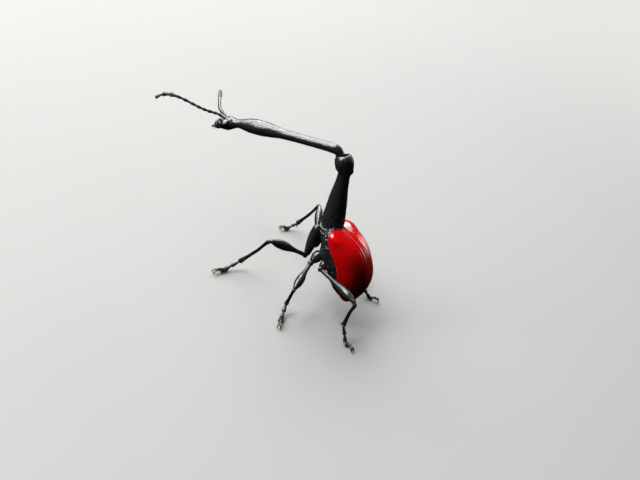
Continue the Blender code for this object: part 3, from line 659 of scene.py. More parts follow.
@known
def black_shell(name):
    """Deep black lacquer-like shell with fine pits."""
    looks = bpy.context.scene.weevil_shell
    made, tree, shader = surface(name, {"Base Color": (*looks.black, 1.0), "IOR": 1.5,
                                        "Specular IOR Level": 0.15, "Coat Weight": 1.0,
                                        "Coat Roughness": 0.02, "Coat IOR": 2.5})
    worn = textured(tree, shader, looks.fine_pits, 0.6, 0.4, 0.0012 * MM)["Wear"]
    fit(tree, shader.inputs["Roughness"], ramp(tree, worn, 0.0, 1.0, 0.02, 0.05))
    deep = tuple(0.4 * part for part in looks.black)
    fit(tree, shader.inputs["Base Color"], mixed(tree, worn, (*looks.black, 1.0), (*deep, 1.0)))
    return made


@known
def red_shell(name):
    """Bright red lacquer-like shell, with painted shade in its pits and towards the tail."""
    looks = bpy.context.scene.weevil_cases
    made, tree, shader = surface(name, {"Base Color": (*looks.red, 1.0), "IOR": 1.45, "Coat Weight": 0.25,
                                        "Coat Roughness": 0.04, "Coat IOR": 1.5})
    worn = textured(tree, shader, 0.05 * MM, 0.25, 0.4, 0.001 * MM)["Wear"]
    fit(tree, shader.inputs["Roughness"], ramp(tree, worn, 0.0, 1.0, 0.14, 0.24))
    # Painted shade: the shaded mark darkens the red towards the tail and across the middle of each case.
    shaded = node(tree, "ShaderNodeAttribute", attribute_name="shaded").outputs["Fac"]
    # Painted shade: this mark darkens the red in the pits and grooves.
    hollow = node(tree, "ShaderNodeAttribute", attribute_name="hollow").outputs["Fac"]
    tone = mixed(tree, calc(tree, "MULTIPLY", shaded, 0.9), (*looks.red, 1.0), (*looks.dark, 1.0))
    tone = mixed(tree, calc(tree, "MULTIPLY", worn, 0.2), tone, (*looks.dark, 1.0))
    tone = mixed(tree, calc(tree, "MULTIPLY", hollow, 0.28), tone, (*looks.dark, 1.0))
    fit(tree, shader.inputs["Base Color"], tone)
    return made


@known
def eye_lens(name):
    """Wet black of the eyes, with a brown depth."""
    made, tree, shader = surface(name, {"Base Color": EYE_BASE, "IOR": 1.5, "Roughness": 0.08,
                                        "Coat Weight": 1.0, "Coat Roughness": 0.03})
    facing = node(tree, "ShaderNodeLayerWeight", {"Blend": 0.4}).outputs["Facing"]
    fit(tree, shader.inputs["Base Color"], mixed(tree, facing, EYE_BROWN, EYE_BLACK))
    return made


@known
def horn(name):
    """Reddish brown horn of claws and jaws, darker in broad patches."""
    looks = bpy.context.scene.weevil_shell
    made, tree, shader = surface(name, {"Base Color": (*looks.horn, 1.0), "IOR": 1.55, "Coat Weight": 0.4,
                                        "Coat Roughness": 0.1})
    worn = textured(tree, shader, 0.04 * MM, 0.1, 0.6, 0.003 * MM)["Wear"]
    fit(tree, shader.inputs["Roughness"], ramp(tree, worn, 0.0, 1.0, 0.2, 0.35))
    dark = tuple(0.25 * part for part in looks.horn)
    fit(tree, shader.inputs["Base Color"], mixed(tree, worn, (*looks.horn, 1.0), (*dark, 1.0)))
    return made


@known
def felt(name):
    """Pale felt of the soles and of the short hairs."""
    looks = bpy.context.scene.weevil_shell
    made, tree, shader = surface(name, {"Base Color": (*looks.felt, 1.0), "Roughness": 0.8,
                                        "Sheen Weight": 0.4, "Sheen Roughness": 0.4})
    worn = textured(tree, shader, 0.03 * MM, 0.8, 1.0, 0.01 * MM)["Wear"]
    dark = tuple(0.45 * part for part in looks.felt)
    fit(tree, shader.inputs["Base Color"], mixed(tree, worn, (*looks.felt, 1.0), (*dark, 1.0)))
    return made


@known
def club_shell(name):
    """Dull dark brown of the feelers' clubs."""
    made, tree, shader = surface(name, {"Base Color": CLUB_BASE, "Sheen Weight": 0.05})
    worn = textured(tree, shader, 0.03 * MM, 0.6, 1.0, 0.006 * MM)["Wear"]
    fit(tree, shader.inputs["Roughness"], ramp(tree, worn, 0.0, 1.0, 0.35, 0.55))
    fit(tree, shader.inputs["Base Color"], mixed(tree, worn, CLUB_BROWN, CLUB_DARK))
    return made


# Pieces

def sculpted(piece, finish):
    """Works the rings, pits and lumps of the shell settings into a piece."""
    looks = bpy.context.scene.weevil_shell
    return grow(piece, sculpting_tree(), {"Ring Spacing": looks.ring_spacing, "Ring Depth": looks.ring_depth,
                                          "Pit Spacing": looks.pit_spacing, "Pit Depth": looks.pit_depth,
                                          "Lump Height": looks.lump_height, "Material": finish})


def neck_line():
    """The line from inside the prothorax's knob, over the hinge and along the neck to the mouth."""
    place = at(HINGE)
    knots = [at(knot) for knot in NECK_TAIL]
    for index in range(NECK_STEPS):
        share = max(0.0, ((index + 0.5) * NECK_STEP - BEND_START) / (FACE_LENGTH - BEND_START))
        pitch = NECK_PITCH + (HEAD_PITCH - NECK_PITCH) * share ** BEND_POWER
        place = place + np.array((-math.cos(pitch), 0.0, -math.sin(pitch))) * (NECK_STEP * MM)
        if index % 3 == 2 and index > 5:
            knots.append(place)
    line = Line(knots)
    return line, line.length - NECK_STEPS * NECK_STEP * MM


def head_frame(reach):
    """The point, heading and upward direction at a distance in mm from the hinge."""
    line, hinge = neck_line()
    near, far = line.at(hinge + (reach - 0.05) * MM), line.at(hinge + (reach + 0.05) * MM)
    heading = unit(far - near)
    return (near + far) / 2, heading, np.cross(heading, LEFT)


def make_head():
    """Head and neck as one ringed shell, from the elbow in the knob to the rim of the mouth."""
    line, hinge = neck_line()
    end = hinge + HEAD_END * MM
    places = np.linspace(0.0, end, 560)
    reach = (places - hinge) / MM
    high, wide = flow(HEAD_GIRTHS, reach) * MM, flow(HEAD_WIDTHS, reach) * MM
    rings = sweep(line.at(places), LEFT, wide, high, 72)
    centre = line.at(places)[:, None]
    spread = unit(rings - centre)
    upness = spread @ np.array((0.0, 0.0, 1.0))
    brow = 0.05 * bump(reach, 9.75, 0.25)[:, None] * bump(upness, 0.75, 0.35)
    furrow = -0.05 * bump(reach, 10.3, 0.5)[:, None] * bump(upness, 1.0, 0.16)
    throat = -0.05 * bump(reach, 10.75, 0.35)[:, None] * bump(upness, -0.9, 0.4)
    rings = rings + spread * ((brow + furrow + throat) * MM)[..., None]
    mouth, heading = rings[-1].mean(axis=0), unit(line.at(end) - line.at(end - 0.05 * MM))
    inner = [mouth + (rings[-1] - mouth) * share - heading * depth * MM
             for share, depth in ((0.86, 0.02), (0.74, 0.1), (0.6, 0.16), (0.3, 0.2))]
    rings = np.concatenate((rings, np.array(inner)))
    reach = np.r_[reach, [HEAD_END] * 4]
    shells = Shells()
    shells.add(rings, along=reach * MM, ringed=flow(NECK_RINGS, reach), pitted=flow(NECK_PITS, reach),
               lumpy=flow(NECK_LUMPS, reach))
    dress(sculpted(shells.make("head_and_neck", []), black_shell()), "black_shell", "head", "neck")


def make_eyes():
    """Two bulging eyes of many lenses."""
    centre, heading, up = head_frame(EYE_PLACE)
    tree = lens_tree()
    for name, side in (("left", 1.0), ("right", -1.0)):
        seed = bpy.data.meshes.new("eye_" + name)
        seed.from_pydata([(0.0, 0.0, 0.0)], [], [])
        eye = add_piece("eyeball_" + name, seed, [])
        grow(eye, tree, {"Rows": 5, "Rise": 0.003, "Top": 0.93, "Material": eye_lens()})
        turn = Matrix((heading, LEFT * side, up)).transposed().to_4x4()
        place = Matrix.Translation(centre + LEFT * (side * EYE_OUT * MM) + up * 0.06 * MM)
        eye.data.transform(place @ turn @ Matrix.Diagonal((*(size * MM for size in EYE_SIZE), 1.0)))
        outward(eye.data)
        dress(eye, "eye", "eye_" + name)


def make_mouth():
    """Two toothed jaws that cross a little, and small feelers of the mouth beside them."""
    centre, heading, up = head_frame(HEAD_END)
    for name, side in (("left", 1.0), ("right", -1.0)):
        jaw = Shells()
        root = centre - heading * 0.2 * MM + LEFT * (side * JAW_PLACE * MM)
        knots = [root + (heading * ahead + LEFT * side * out) * MM
                 for ahead, out in ((0.0, 0.0), (0.14, 0.09), (0.3, 0.07), (0.42, -0.04), (0.46, -0.18))]
        rings, _ = rod(Line(knots), ((0.0, 0.14), (0.4, 0.13), (0.75, 0.08), (1.0, 0.025)), up, 24, 18, 0.75)
        jaw.add(rings)
        for share, reach in ((0.3, 0.13), (0.38, 0.12)):
            base = root + heading * share * MM
            tooth = Line([base, base - LEFT * side * reach * MM + heading * 0.03 * MM])
            jaw.add(rod(tooth, ((0.0, 0.06), (1.0, 0.015)), up, 6, 10)[0])
        dress(jaw.make("jaw_" + name, [horn()]), "brown_claw", "mandible_" + name)
        palp = Shells()
        base = centre - heading * 0.05 * MM - up * 0.17 * MM + LEFT * side * 0.12 * MM
        for index in range(3):
            tip = base + (heading * 0.085 - up * 0.03 + LEFT * side * 0.015) * MM
            girth = 0.05 - 0.01 * index
            girths = ((0.0, girth * 0.7), (0.7, girth), (1.0, girth * 0.8))
            palp.add(rod(Line([base, tip]), girths, LEFT, 6, 10)[0])
            base = tip - heading * 0.01 * MM
        dress(palp.make("palp_" + name, [club_shell()]), "black_shell")


def make_feelers():
    """Feelers of eleven turned joints on a ball each, with a dull hairy club."""
    looks = bpy.context.scene.weevil_feelers
    tree = joint_chain_tree()
    for side, knots in FEELERS.items():
        line = Line([at(knot) for knot in knots])
        stops = np.r_[0.0, np.cumsum(FEELER_SHARES)] / sum(FEELER_SHARES) * line.length
        points = line.at(stops)
        club = np.arange(len(FEELER_SHARES)) >= len(FEELER_SHARES) - FEELER_CLUB
        girth = np.where(club, looks.club_radius, looks.joint_radius) * np.linspace(1.02, 0.97, len(club))
        girth[0] *= 0.85
        girth[-1] *= 0.8
        for part, chosen, finish in (("stalk", ~club, black_shell()), ("club", club, club_shell())):
            seed = bpy.data.meshes.new("feeler")
            seed.from_pydata(points[:-1][chosen].tolist(), [], [])
            heading = np.diff(points, axis=0)[chosen]
            length = np.linalg.norm(heading, axis=1) * 1.03
            turned = seed.attributes.new("heading", "FLOAT_VECTOR", "POINT")
            turned.data.foreach_set("vector", heading.ravel())
            for label, values in (("girth", girth[chosen]), ("length", length)):
                seed.attributes.new(label, "FLOAT", "POINT").data.foreach_set("value", values)
            piece = add_piece("feeler_%s_%s" % (part, side), seed, [])
            grow(piece, tree, {"Sides": 20, "Steps": 30, "Material": finish})
            outward(piece.data)
            dress(piece, "black_shell", "antenna_" + side)
            if part == "club":
                add_bristles(piece, "feeler_hairs_" + side, CLUB_HAIR_DENSITY, looks.hair_length,
                             CLUB_HAIR_RADIUS * MM, tuple(unit(heading.sum(axis=0)) * 2.0), 3)
        socket = Shells()
        base, heading = points[0], unit(points[1] - points[0])
        socket.add(rod(Line([base - heading * 0.14 * MM, base + heading * 0.08 * MM]),
                       ((0.0, 0.15), (0.6, 0.17), (1.0, 0.1)), LEFT, 8, 20)[0])
        dress(socket.make("feeler_socket_" + side, [black_shell()]), "black_shell")


def add_bristles(host, name, density, length, radius, lean, seed, spread=(1.0, 1.0, 1.0)):
    """Adds a piece of bristles that stand on the whole of a host, or where its hairy mark asks."""
    mesh = host.data.copy()
    if "hairy" not in mesh.attributes:
        values = np.ones(len(mesh.vertices), np.float32)
        mesh.attributes.new("hairy", "FLOAT", "POINT").data.foreach_set("value", values)
    mesh.materials.clear()
    hairs = add_piece(name, mesh, [])
    grow(hairs, bristle_tree(), {"Density": density, "Length": length, "Radius": radius, "Lean": lean,
                                 "Spread": spread, "Seed": seed, "Material": felt()})
    dress(hairs, "foot")


def make_prothorax():
    """The neck-like prothorax, with a grooved collar below and a rimmed knob above."""
    line = Line([at(knot) for knot in PROTHORAX_AXIS])
    stops = np.array(PROTHORAX_GIRTHS)
    order = np.arange(len(stops))
    track = np.linspace(0.0, order[-1], 480)
    reach = flow(np.c_[order, stops[:, 0]], track)
    path = line.at(reach * MM)
    heading = unit(line.at(reach * MM + 0.01 * MM) - line.at(reach * MM - 0.19 * MM))
    side = np.broadcast_to(LEFT, heading.shape)
    rise = np.cross(heading, side)
    angle = np.linspace(0, 2 * math.pi, 200, endpoint=False)
    tilt = KNOB_TILT * bump(reach, 6.0, 0.45)[:, None] * (0.5 * np.cos(angle) - 0.87 * np.sin(angle))
    slope = np.gradient(flow(np.c_[order, stops[:, 1]], track)) / np.gradient(reach)
    girth = (flow(np.c_[order, stops[:, 1]], track)[:, None] - tilt * np.clip(slope, -1.0, 1.0)[:, None]) * MM
    boxy = 1 + 0.03 * bump(reach, 6.8, 0.4)[:, None] * np.cos(4 * angle)
    across = (girth * boxy * np.cos(angle))[..., None] * side[:, None]
    upward = (girth * boxy * np.sin(angle))[..., None] * rise[:, None]
    rings = path[:, None] + across + upward
    shells = Shells()
    shells.add(rings, along=reach * MM, ringed=flow(PROTHORAX_RINGS, reach),
               pitted=flow(PROTHORAX_PITS, reach), lumpy=flow(PROTHORAX_LUMPS, reach))
    dress(sculpted(shells.make("prothorax_shell", []), black_shell()), "black_shell", "prothorax")


def case_top(along):
    """Height of the wing cases' seam over the scutellum, in mm."""
    span = np.where(along < CASE_CREST, CASE_CREST, CASE_LENGTH - CASE_CREST)
    return CASE_HEIGHT * (1.0 - np.abs((along - CASE_CREST) / span) ** CASE_ARCH)


def case_width(along):
    """Half the width of the two wing cases together, in mm."""
    pinch = (np.clip(CASE_CREST - along, 0.0, None) / CASE_CREST) ** 3
    corner = np.clip(1.0 - along / CASE_CORNER, 0.0, 1.0) ** 2
    front = (CASE_HALF_WIDTH - (CASE_HALF_WIDTH - CASE_SHOULDER) * pinch) * (1.0 - 0.15 * corner)
    share = np.clip((along - CASE_CREST) / (CASE_LENGTH - CASE_CREST), 0.0, 1.0)
    return front * np.sqrt(1.0 - share ** CASE_TAPER)


def case_points(along, share):
    """Points of a wing case, in mm on the body, at distances along it and shares of its side."""
    looks = bpy.context.scene.weevil_cases
    notch = np.clip(1.0 - along / 0.5, 0.0, 1.0)
    seam = looks.seam / MM / 2 + 0.17 * notch
    wide = case_width(along)
    angle = np.radians(flow(CASE_TURNS, along)) * share
    sine, cosine = np.sin(angle), np.cos(angle)
    out = seam + (wide - seam) * np.abs(sine) ** CASE_SECTION
    up = CASE_EDGE + (case_top(along) - CASE_EDGE) * np.sign(cosine) * np.abs(cosine) ** CASE_SECTION
    callus = 0.11 * bump(along, CALLUS[0], 0.42) * bump(share, CALLUS[1], 0.16)
    rim = 0.05 * bump(share, 0.965, 0.03)
    ridge = 0.018 * bump(share, 0.012, 0.02)
    swell = callus + rim + ridge
    lip = 0.32 * np.clip((CASE_LIP - along) / (CASE_LIP - CASE_START), 0.0, 1.0) ** 2
    out = (out + swell * sine) * (1 - lip)
    up = (up + swell * cosine) * (1 - lip) - 0.5 * lip
    return np.stack((along, out, up), axis=-1)


def make_wing_cases():
    """Two domed red wing cases with rows of pits, a raised rim and a thin wall."""
    looks = bpy.context.scene.weevil_cases
    rows, columns = 230, 150
    track = np.linspace(0.0, 1.0, rows)
    spread = 0.5 * track ** 1.6 + 0.5 * np.sin(track * math.pi / 2) ** 1.6
    along = CASE_START + (CASE_LENGTH * 0.997 - CASE_START) * spread
    share = np.linspace(0.0, 1.0, columns)
    grid_along, grid_share = np.meshgrid(along, share, indexing="ij")
    shape = case_points(grid_along, grid_share)
    relief = (np.clip((grid_along - 0.2) / 0.5, 0, 1) * np.clip((CASE_LENGTH - 0.1 - grid_along) / 0.9, 0, 1)
              * np.clip((0.955 - grid_share) / 0.03, 0, 1) * np.clip((grid_share - 0.02) / 0.03, 0, 1)
              * (0.4 + 0.6 * np.clip((0.62 - grid_share) / 0.35, 0, 1)))
    # Painted shade: the red darkens towards the tail and across the middle of each case.
    shaded = (np.clip((grid_along - 1.7) / 1.9, 0, 1) * bump(grid_share, 0.45, 0.3)
              + 0.85 * np.clip((grid_along - 3.6) / 2.4, 0, 1))
    row, column = np.mgrid[0:rows - 1, 0:columns - 1]
    quads = np.stack((row * columns + column, row * columns + column + 1, (row + 1) * columns + column + 1,
                      (row + 1) * columns + column), axis=-1).reshape(-1, 4)
    tree = pit_row_tree()
    for name, side in (("left", -1.0), ("right", 1.0)):
        points = on_body((shape * (1.0, side, 1.0)).reshape(-1, 3))
        mesh = bpy.data.meshes.new("wing_case")
        mesh.from_pydata(points.tolist(), [], (quads if side < 0 else quads[:, ::-1]).tolist())
        for label, values in (("along", grid_along * MM), ("row", grid_share * looks.rows),
                              ("relief", relief), ("shaded", np.clip(shaded, 0, 1))):
            mesh.attributes.new(label, "FLOAT", "POINT").data.foreach_set("value", values.ravel())
        case = add_piece("wing_case_" + name, mesh, [])
        grow(case, tree, {"Groove Depth": looks.groove_depth, "Pit Depth": looks.pit_depth,
                          "Pit Spacing": looks.pit_spacing, "Material": red_shell()})
        wall = case.modifiers.new("wall", "SOLIDIFY")
        wall.thickness = looks.wall
        wall.offset = -1.0
        graph = bpy.context.evaluated_depsgraph_get()
        case.data = bpy.data.meshes.new_from_object(case.evaluated_get(graph))
        case.modifiers.clear()
        dress(case, "red_wing_case", "elytron_" + name)


def trunk_rings(along, wide, top, bottom, sides=280):
    """Rings of the trunk, in mm on the body, that meet at a ledge below the wing cases."""
    angle = np.linspace(0, 2 * math.pi, sides, endpoint=False)
    sine, cosine = np.sin(angle), np.cos(angle)
    out = wide[:, None] * np.sign(cosine) * np.abs(cosine) ** 0.8
    height = np.where(sine > 0, LEDGE + (top[:, None] - LEDGE) * sine,
                      LEDGE + (LEDGE - bottom[:, None]) * np.sign(sine) * np.abs(sine) ** 0.85)
    along = np.broadcast_to(along[:, None], out.shape)
    return np.stack((along, out, height), axis=-1)


def make_trunk():
    """Middle and hind thorax with their side plates, and the scutellum."""
    along = np.linspace(*THORAX_SPAN, 220)
    top = np.minimum(case_top(np.clip(along, 0.05, None)) * 0.55, 0.9)
    shape = trunk_rings(along, flow(THORAX_WIDTHS, along), top, flow(THORAX_DEPTHS, along))
    outwards = unit(shape * (0.0, 1.0, 1.0) - np.array((0.0, 0.0, -0.6)))
    x, z = shape[..., 0], shape[..., 2]
    flank = np.clip(np.abs(outwards[..., 1]) * 1.5 - 0.3, 0, 1)
    plate = (0.09 * bump(z, -0.32, 0.13) + 0.05 * bump(z, -1.15, 0.25)) * np.clip((x - 1.15) / 0.2, 0, 1)
    seams = (-0.06 * bump(z, -0.72, 0.045) * np.clip((x - 1.2) / 0.1, 0, 1)
             - 0.07 * bump(x, 1.22 - 0.25 * (z + 0.6), 0.05) - 0.05 * bump(x, 0.62 + 0.3 * (z + 0.6), 0.045))
    keel = -0.05 * bump(shape[..., 1], 0.0, 0.03) * (z < -1.0)
    shape = shape + outwards * ((plate + seams) * flank + keel)[..., None]
    shells = Shells()
    shells.add(on_body(shape), along=along * MM, pitted=flow(THORAX_PITS, along), lumpy=THORAX_LUMPS)
    dress(sculpted(shells.make("thorax_shell", []), black_shell()), "black_shell", "thorax")

    shield = Shells()
    along = np.linspace(0.0, SCUTELLUM_LENGTH, 40)
    half = SCUTELLUM_HALF_WIDTH * np.sqrt(np.clip(1 - (along / 0.37) ** 2.4, 0.002, 1))
    angle = np.linspace(0, 2 * math.pi, 40, endpoint=False)
    height = case_top(along) - 0.06 + 0.1 * (1 - along / SCUTELLUM_LENGTH)
    rings = np.stack((np.broadcast_to(along[:, None], (40, 40)), half[:, None] * np.cos(angle),
                      height[:, None] + np.where(np.sin(angle) > 0, 0.07, 0.5) * np.sin(angle)), axis=-1)
    shield.add(on_body(rings), along=along * MM, pitted=0.5)
    dress(sculpted(shield.make("scutellum_plate", []), black_shell()), "black_shell")


def make_belly():
    """The abdomen, in overlapping plates that narrow to the tail."""
    along = np.linspace(*BELLY_SPAN, 260)
    gone = (along - BELLY_SPAN[0]) / BELLY_REACH
    shrink = np.sqrt(np.clip(1 - gone ** 2.6, 0.004, 1))
    top = np.minimum(case_top(along) * 0.55, 0.9) * shrink + LEDGE * (1 - shrink)
    shape = trunk_rings(along, BELLY_WIDTH * shrink, top, LEDGE - 1.2 * shrink)
    outwards = unit(shape * (0.0, 1.0, 1.0) - np.array((0.0, 0.0, -0.5)))
    step = (along - BELLY_SPAN[0]) / BELLY_PLATE
    lap = 0.07 * (step - np.floor(step)) ** 0.7 - 0.05 * bump(step - np.round(step), 0.03, 0.05)
    under = np.clip(LEDGE - shape[..., 2], 0, 0.3) / 0.3
    shape = shape + outwards * (lap[:, None] * under)[..., None]
    shells = Shells()
    shells.add(on_body(shape), along=along * MM, pitted=0.6)
    dress(sculpted(shells.make("belly_shell", []), black_shell()), "black_shell", "abdomen")


def knee_point(hip, ankle, femur, tibia, pole):
    """The knee of two lengths that reach from hip to ankle and bend towards the pole."""
    chord = ankle - hip
    reach = np.linalg.norm(chord)
    along = (femur ** 2 - tibia ** 2 + reach ** 2) / (2 * reach)
    out = math.sqrt(max(0.0, femur ** 2 - along ** 2))
    way = chord / reach
    return hip + way * along + unit(pole - way * (pole @ way)) * out


def leg_points(name):
    """Root, hip, knee, ankle and toe of a leg, in metres."""
    pair = name.split("_")[0]
    root, hip, pole, ankle, toe = STANCE[name]
    hip, ankle = at(hip), at(ankle)
    knee = knee_point(hip, ankle, FEMUR_LENGTH[pair] * MM, TIBIA_LENGTH[pair] * MM, np.array(pole))
    return at(root), hip, knee, ankle, at((*toe, 0.0))


def make_leg(name):
    """A leg down to its ankle: hip cone, ring joint, clubbed thigh and thin shin with a spur."""
    looks = bpy.context.scene.weevil_legs
    pair = name.split("_")[0]
    root, hip, knee, ankle = leg_points(name)[:4]
    plane = unit(np.cross(knee - hip, ankle - knee))
    black = black_shell()

    cone = Shells()
    line = Line([root, root * 0.5 + hip * 0.5, hip])
    rings, places = rod(line, COXA_GIRTHS[pair], plane, 60, 40)
    cone.add(rings, along=places, pitted=0.5, lumpy=0.35)
    way = unit(knee - hip)
    rings, places = rod(Line([hip - way * 0.12 * MM, hip + way * 0.34 * MM]),
                        ((0.0, 0.2), (0.4, 0.25), (0.8, 0.2), (1.0, 0.15)), plane, 20, 32)
    cone.add(rings, along=places, pitted=0.3)
    dress(sculpted(cone.make("coxa_shell_" + name, []), black), "black_shell", "coxa_" + name)

    swell = FEMUR_RADIUS[pair] / 0.39
    thigh = Shells()
    outer = unit(np.cross(plane, knee - hip))
    outer = outer if outer @ (knee - (hip + ankle) / 2) > 0 else -outer
    bow = outer * np.linalg.norm(knee - hip)
    line = Line([hip + way * 0.2 * MM, hip * 0.6 + knee * 0.4 + bow * 0.012,
                 hip * 0.3 + knee * 0.7 + bow * 0.02, knee])
    shape = [(share, girth * (swell if 0.3 < share < 0.9 else 1.0)) for share, girth in FEMUR_SHAPE]
    rings, places = rod(line, shape, plane, 110, 40, 0.93)
    thigh.add(rings, along=places, pitted=0.1)
    dress(sculpted(thigh.make("thigh_" + name, []), black), "black_shell", "femur_" + name)

    shin = Shells()
    way = unit(ankle - knee)
    outer = unit(np.cross(plane, way))
    outer = outer if outer @ (knee - (hip + ankle) / 2) > 0 else -outer
    bow = outer * np.linalg.norm(ankle - knee)
    line = Line([knee, knee * 0.94 + ankle * 0.06 + bow * 0.008, knee * 0.6 + ankle * 0.4 - bow * 0.014,
                 knee * 0.25 + ankle * 0.75 - bow * 0.01, ankle])
    shape = [(share, girth * looks.shin_radius / (0.135 * MM)) for share, girth in TIBIA_SHAPE]
    rings, places = rod(line, shape, plane, 100, 32, 0.9)
    hairy = np.clip(places / line.length * 4 - 2.8, 0, 1)
    shin.add(rings, along=places, pitted=0.12, hairy=hairy)
    spur = Line([ankle - way * 0.16 * MM - outer * 0.1 * MM, ankle + way * 0.05 * MM - outer * 0.27 * MM,
                 ankle + way * 0.1 * MM - outer * 0.4 * MM])
    shin.add(rod(spur, ((0.0, 0.09), (0.5, 0.06), (1.0, 0.02)), plane, 14, 14)[0])
    piece = sculpted(shin.make("shin_" + name, []), black)
    dress(piece, "black_shell", "tibia_" + name)
    add_bristles(piece, "shin_bristles_" + name, looks.bristle_density, looks.bristle_length,
                 BRISTLE_RADIUS * MM, tuple(way * 1.6), 5)


def foot_piece_line(points, start, end):
    """A stretch of a foot's line between two shares of its length."""
    whole = Line(points)
    return Line(whole.at(np.linspace(start, end, 7) * whole.length))


def make_foot(name):
    """A foot: two cone joints, a two-lobed felted one on the floor, and a claw joint."""
    looks = bpy.context.scene.weevil_legs
    ankle, toe = leg_points(name)[3:]
    floor = ankle * (1.0, 1.0, 0.0)
    way = unit(toe - floor)
    across = np.array((-way[1], way[0], 0.0))
    up = np.array((0.0, 0.0, 1.0))

    def place(share, side, height):
        """A point a share of the way to the toe, and mm across and up."""
        return floor + (toe - floor) * share + across * (side * MM) + up * (height * MM)

    bend = place(FOOT_BEND[0], 0.0, FOOT_BEND_RISE) + up * (ankle[2] * FOOT_BEND[1])
    spine = [ankle, bend, place(0.47, 0.0, 0.24), place(0.6, 0.0, 0.15)]
    foot = Shells()
    for start, end, girth in ((0.0, 0.5, 0.155), (0.46, 0.86, 0.165)):
        line = foot_piece_line(spine, start, end)
        girths = [(share, girth * part) for share, part in CONE_SHAPE]
        rings, places = rod(line, girths, across, 26, 24, 1.15)
        foot.add(rings, along=places)
    for side in (-1.0, 1.0):
        lobe = Line([place(0.4, side * 0.03, 0.2), place(PAD_PLACE - 0.02, side * 0.085, 0.15),
                     place(PAD_PLACE + 0.12, side * 0.12, 0.11)])
        rings, places = rod(lobe, ((0.0, 0.08), (0.4, 0.1), (0.8, 0.1), (1.0, 0.075)), across, 22, 24, 1.15)
        rings[..., 2] = np.maximum(rings[..., 2], 0.045 * MM)
        foot.add(rings, along=places)
        sole = rings.copy()
        sole[..., 2] = np.clip((sole[..., 2] - 0.03 * MM) * 0.8, 0.0, 0.1 * MM)
        middle = sole.mean(axis=(0, 1))
        sole[..., :2] = middle[:2] + (sole[..., :2] - middle[:2]) * 1.1
        foot.add(sole, slot=1, along=places, hairy=1.0)
    arch = [place(0.5, 0.0, 0.2), place(0.62, 0.0, 0.3), place(0.74, 0.0, 0.36), place(0.84, 0.0, 0.33)]
    rings, places = rod(Line(arch), ((0.0, 0.07), (0.5, 0.09), (0.85, 0.13), (1.0, 0.11)), across, 24, 20)
    foot.add(rings, along=places)
    for side in (-1.0, 1.0):
        claw = Line([place(share, side * out, height) for share, out, height in CLAW_KNOTS])
        foot.add(rod(claw, CLAW_GIRTHS, across, 26, 16)[0], slot=2)
    piece = foot.make("foot_" + name, [black_shell(), felt(), horn()])
    dress(piece, "foot", "tarsus_" + name)
    add_bristles(piece, "foot_bristles_" + name, SOLE_HAIR_DENSITY, looks.sole_hair_length,
                 BRISTLE_RADIUS * MM, tuple(way * 0.8), 7, spread=(1.0, 1.0, 0.0))


# Stage

def make_floor():
    """A plain pale floor that fades into the backdrop far from the weevil."""
    looks = bpy.context.scene.weevil_stage
    mesh = bpy.data.meshes.new("floor")
    half = looks.floor_size / 2
    mesh.from_pydata([(-half, -half, 0.0), (half, -half, 0.0), (half, half, 0.0), (-half, half, 0.0)], [],
                     [(0, 1, 2, 3)])
    made, tree, shader = surface("pale_floor", {"Base Color": (*looks.floor_colour, 1.0), "Roughness": 0.9,
                                                "Specular IOR Level": 0.0, "Emission Strength": 1.0})
    spot = node(tree, "ShaderNodeTexCoord").outputs["Object"]
    grain = node(tree, "ShaderNodeTexNoise", {"Vector": spot, "Scale": 60.0, "Detail": 3.0}).outputs[0]
    near = tuple(0.97 * part for part in looks.floor_colour)
    seen = node(tree, "ShaderNodeLightPath").outputs["Is Camera Ray"]
    pale = mixed(tree, grain, (*near, 1.0), (*looks.floor_colour, 1.0))
    away = node(tree, "ShaderNodeVectorMath", {0: spot}, operation="LENGTH").outputs["Value"]
    haze = ramp(tree, away, *FLOOR_FADE)
    pale = mixed(tree, haze, pale, NO_LIGHT)
    glow = mixed(tree, haze, NO_LIGHT, (*looks.backdrop, 1.0))
    fit(tree, shader.inputs["Base Color"], mixed(tree, seen, (*looks.floor_bounce, 1.0), pale))
    fit(tree, shader.inputs["Emission Color"], mixed(tree, seen, NO_LIGHT, glow))
    add_piece("floor", mesh, [made])


def add_light(name, place, size, power):
    """A soft panel of light that faces the weevil."""
    lamp = bpy.data.lights.new(name, "AREA")
    lamp.shape = "RECTANGLE"
    lamp.size, lamp.size_y = size
    lamp.energy = power
    thing = bpy.data.objects.new(name, lamp)
    bpy.context.scene.collection.objects.link(thing)
    thing.location = place
    thing.rotation_euler = (Vector(place) - Vector(LIGHT_AIM)).to_track_quat("Z", "Y").to_euler()


def make_lights():
    """A wide panel overhead, one before the head, two from behind, and two small bright lights."""
    looks = bpy.context.scene.weevil_stage
    for name, (place, size) in LIGHTS.items():
        add_light(name, place, size, getattr(looks, name + "_power"))
    world = bpy.data.worlds.new("studio")
    bpy.context.scene.world = world
    world.use_nodes = True
    tree = world.node_tree
    shade = tree.nodes["Background"]
    rays = node(tree, "ShaderNodeLightPath").outputs
    soft = tuple(WORLD_IN_GLOSS * part for part in looks.world_light)
    around = mixed(tree, rays["Is Glossy Ray"], (*looks.world_light, 1.0), (*soft, 1.0))
    fit(tree, shade.inputs["Color"], mixed(tree, rays["Is Camera Ray"], around, (*looks.backdrop, 1.0)))


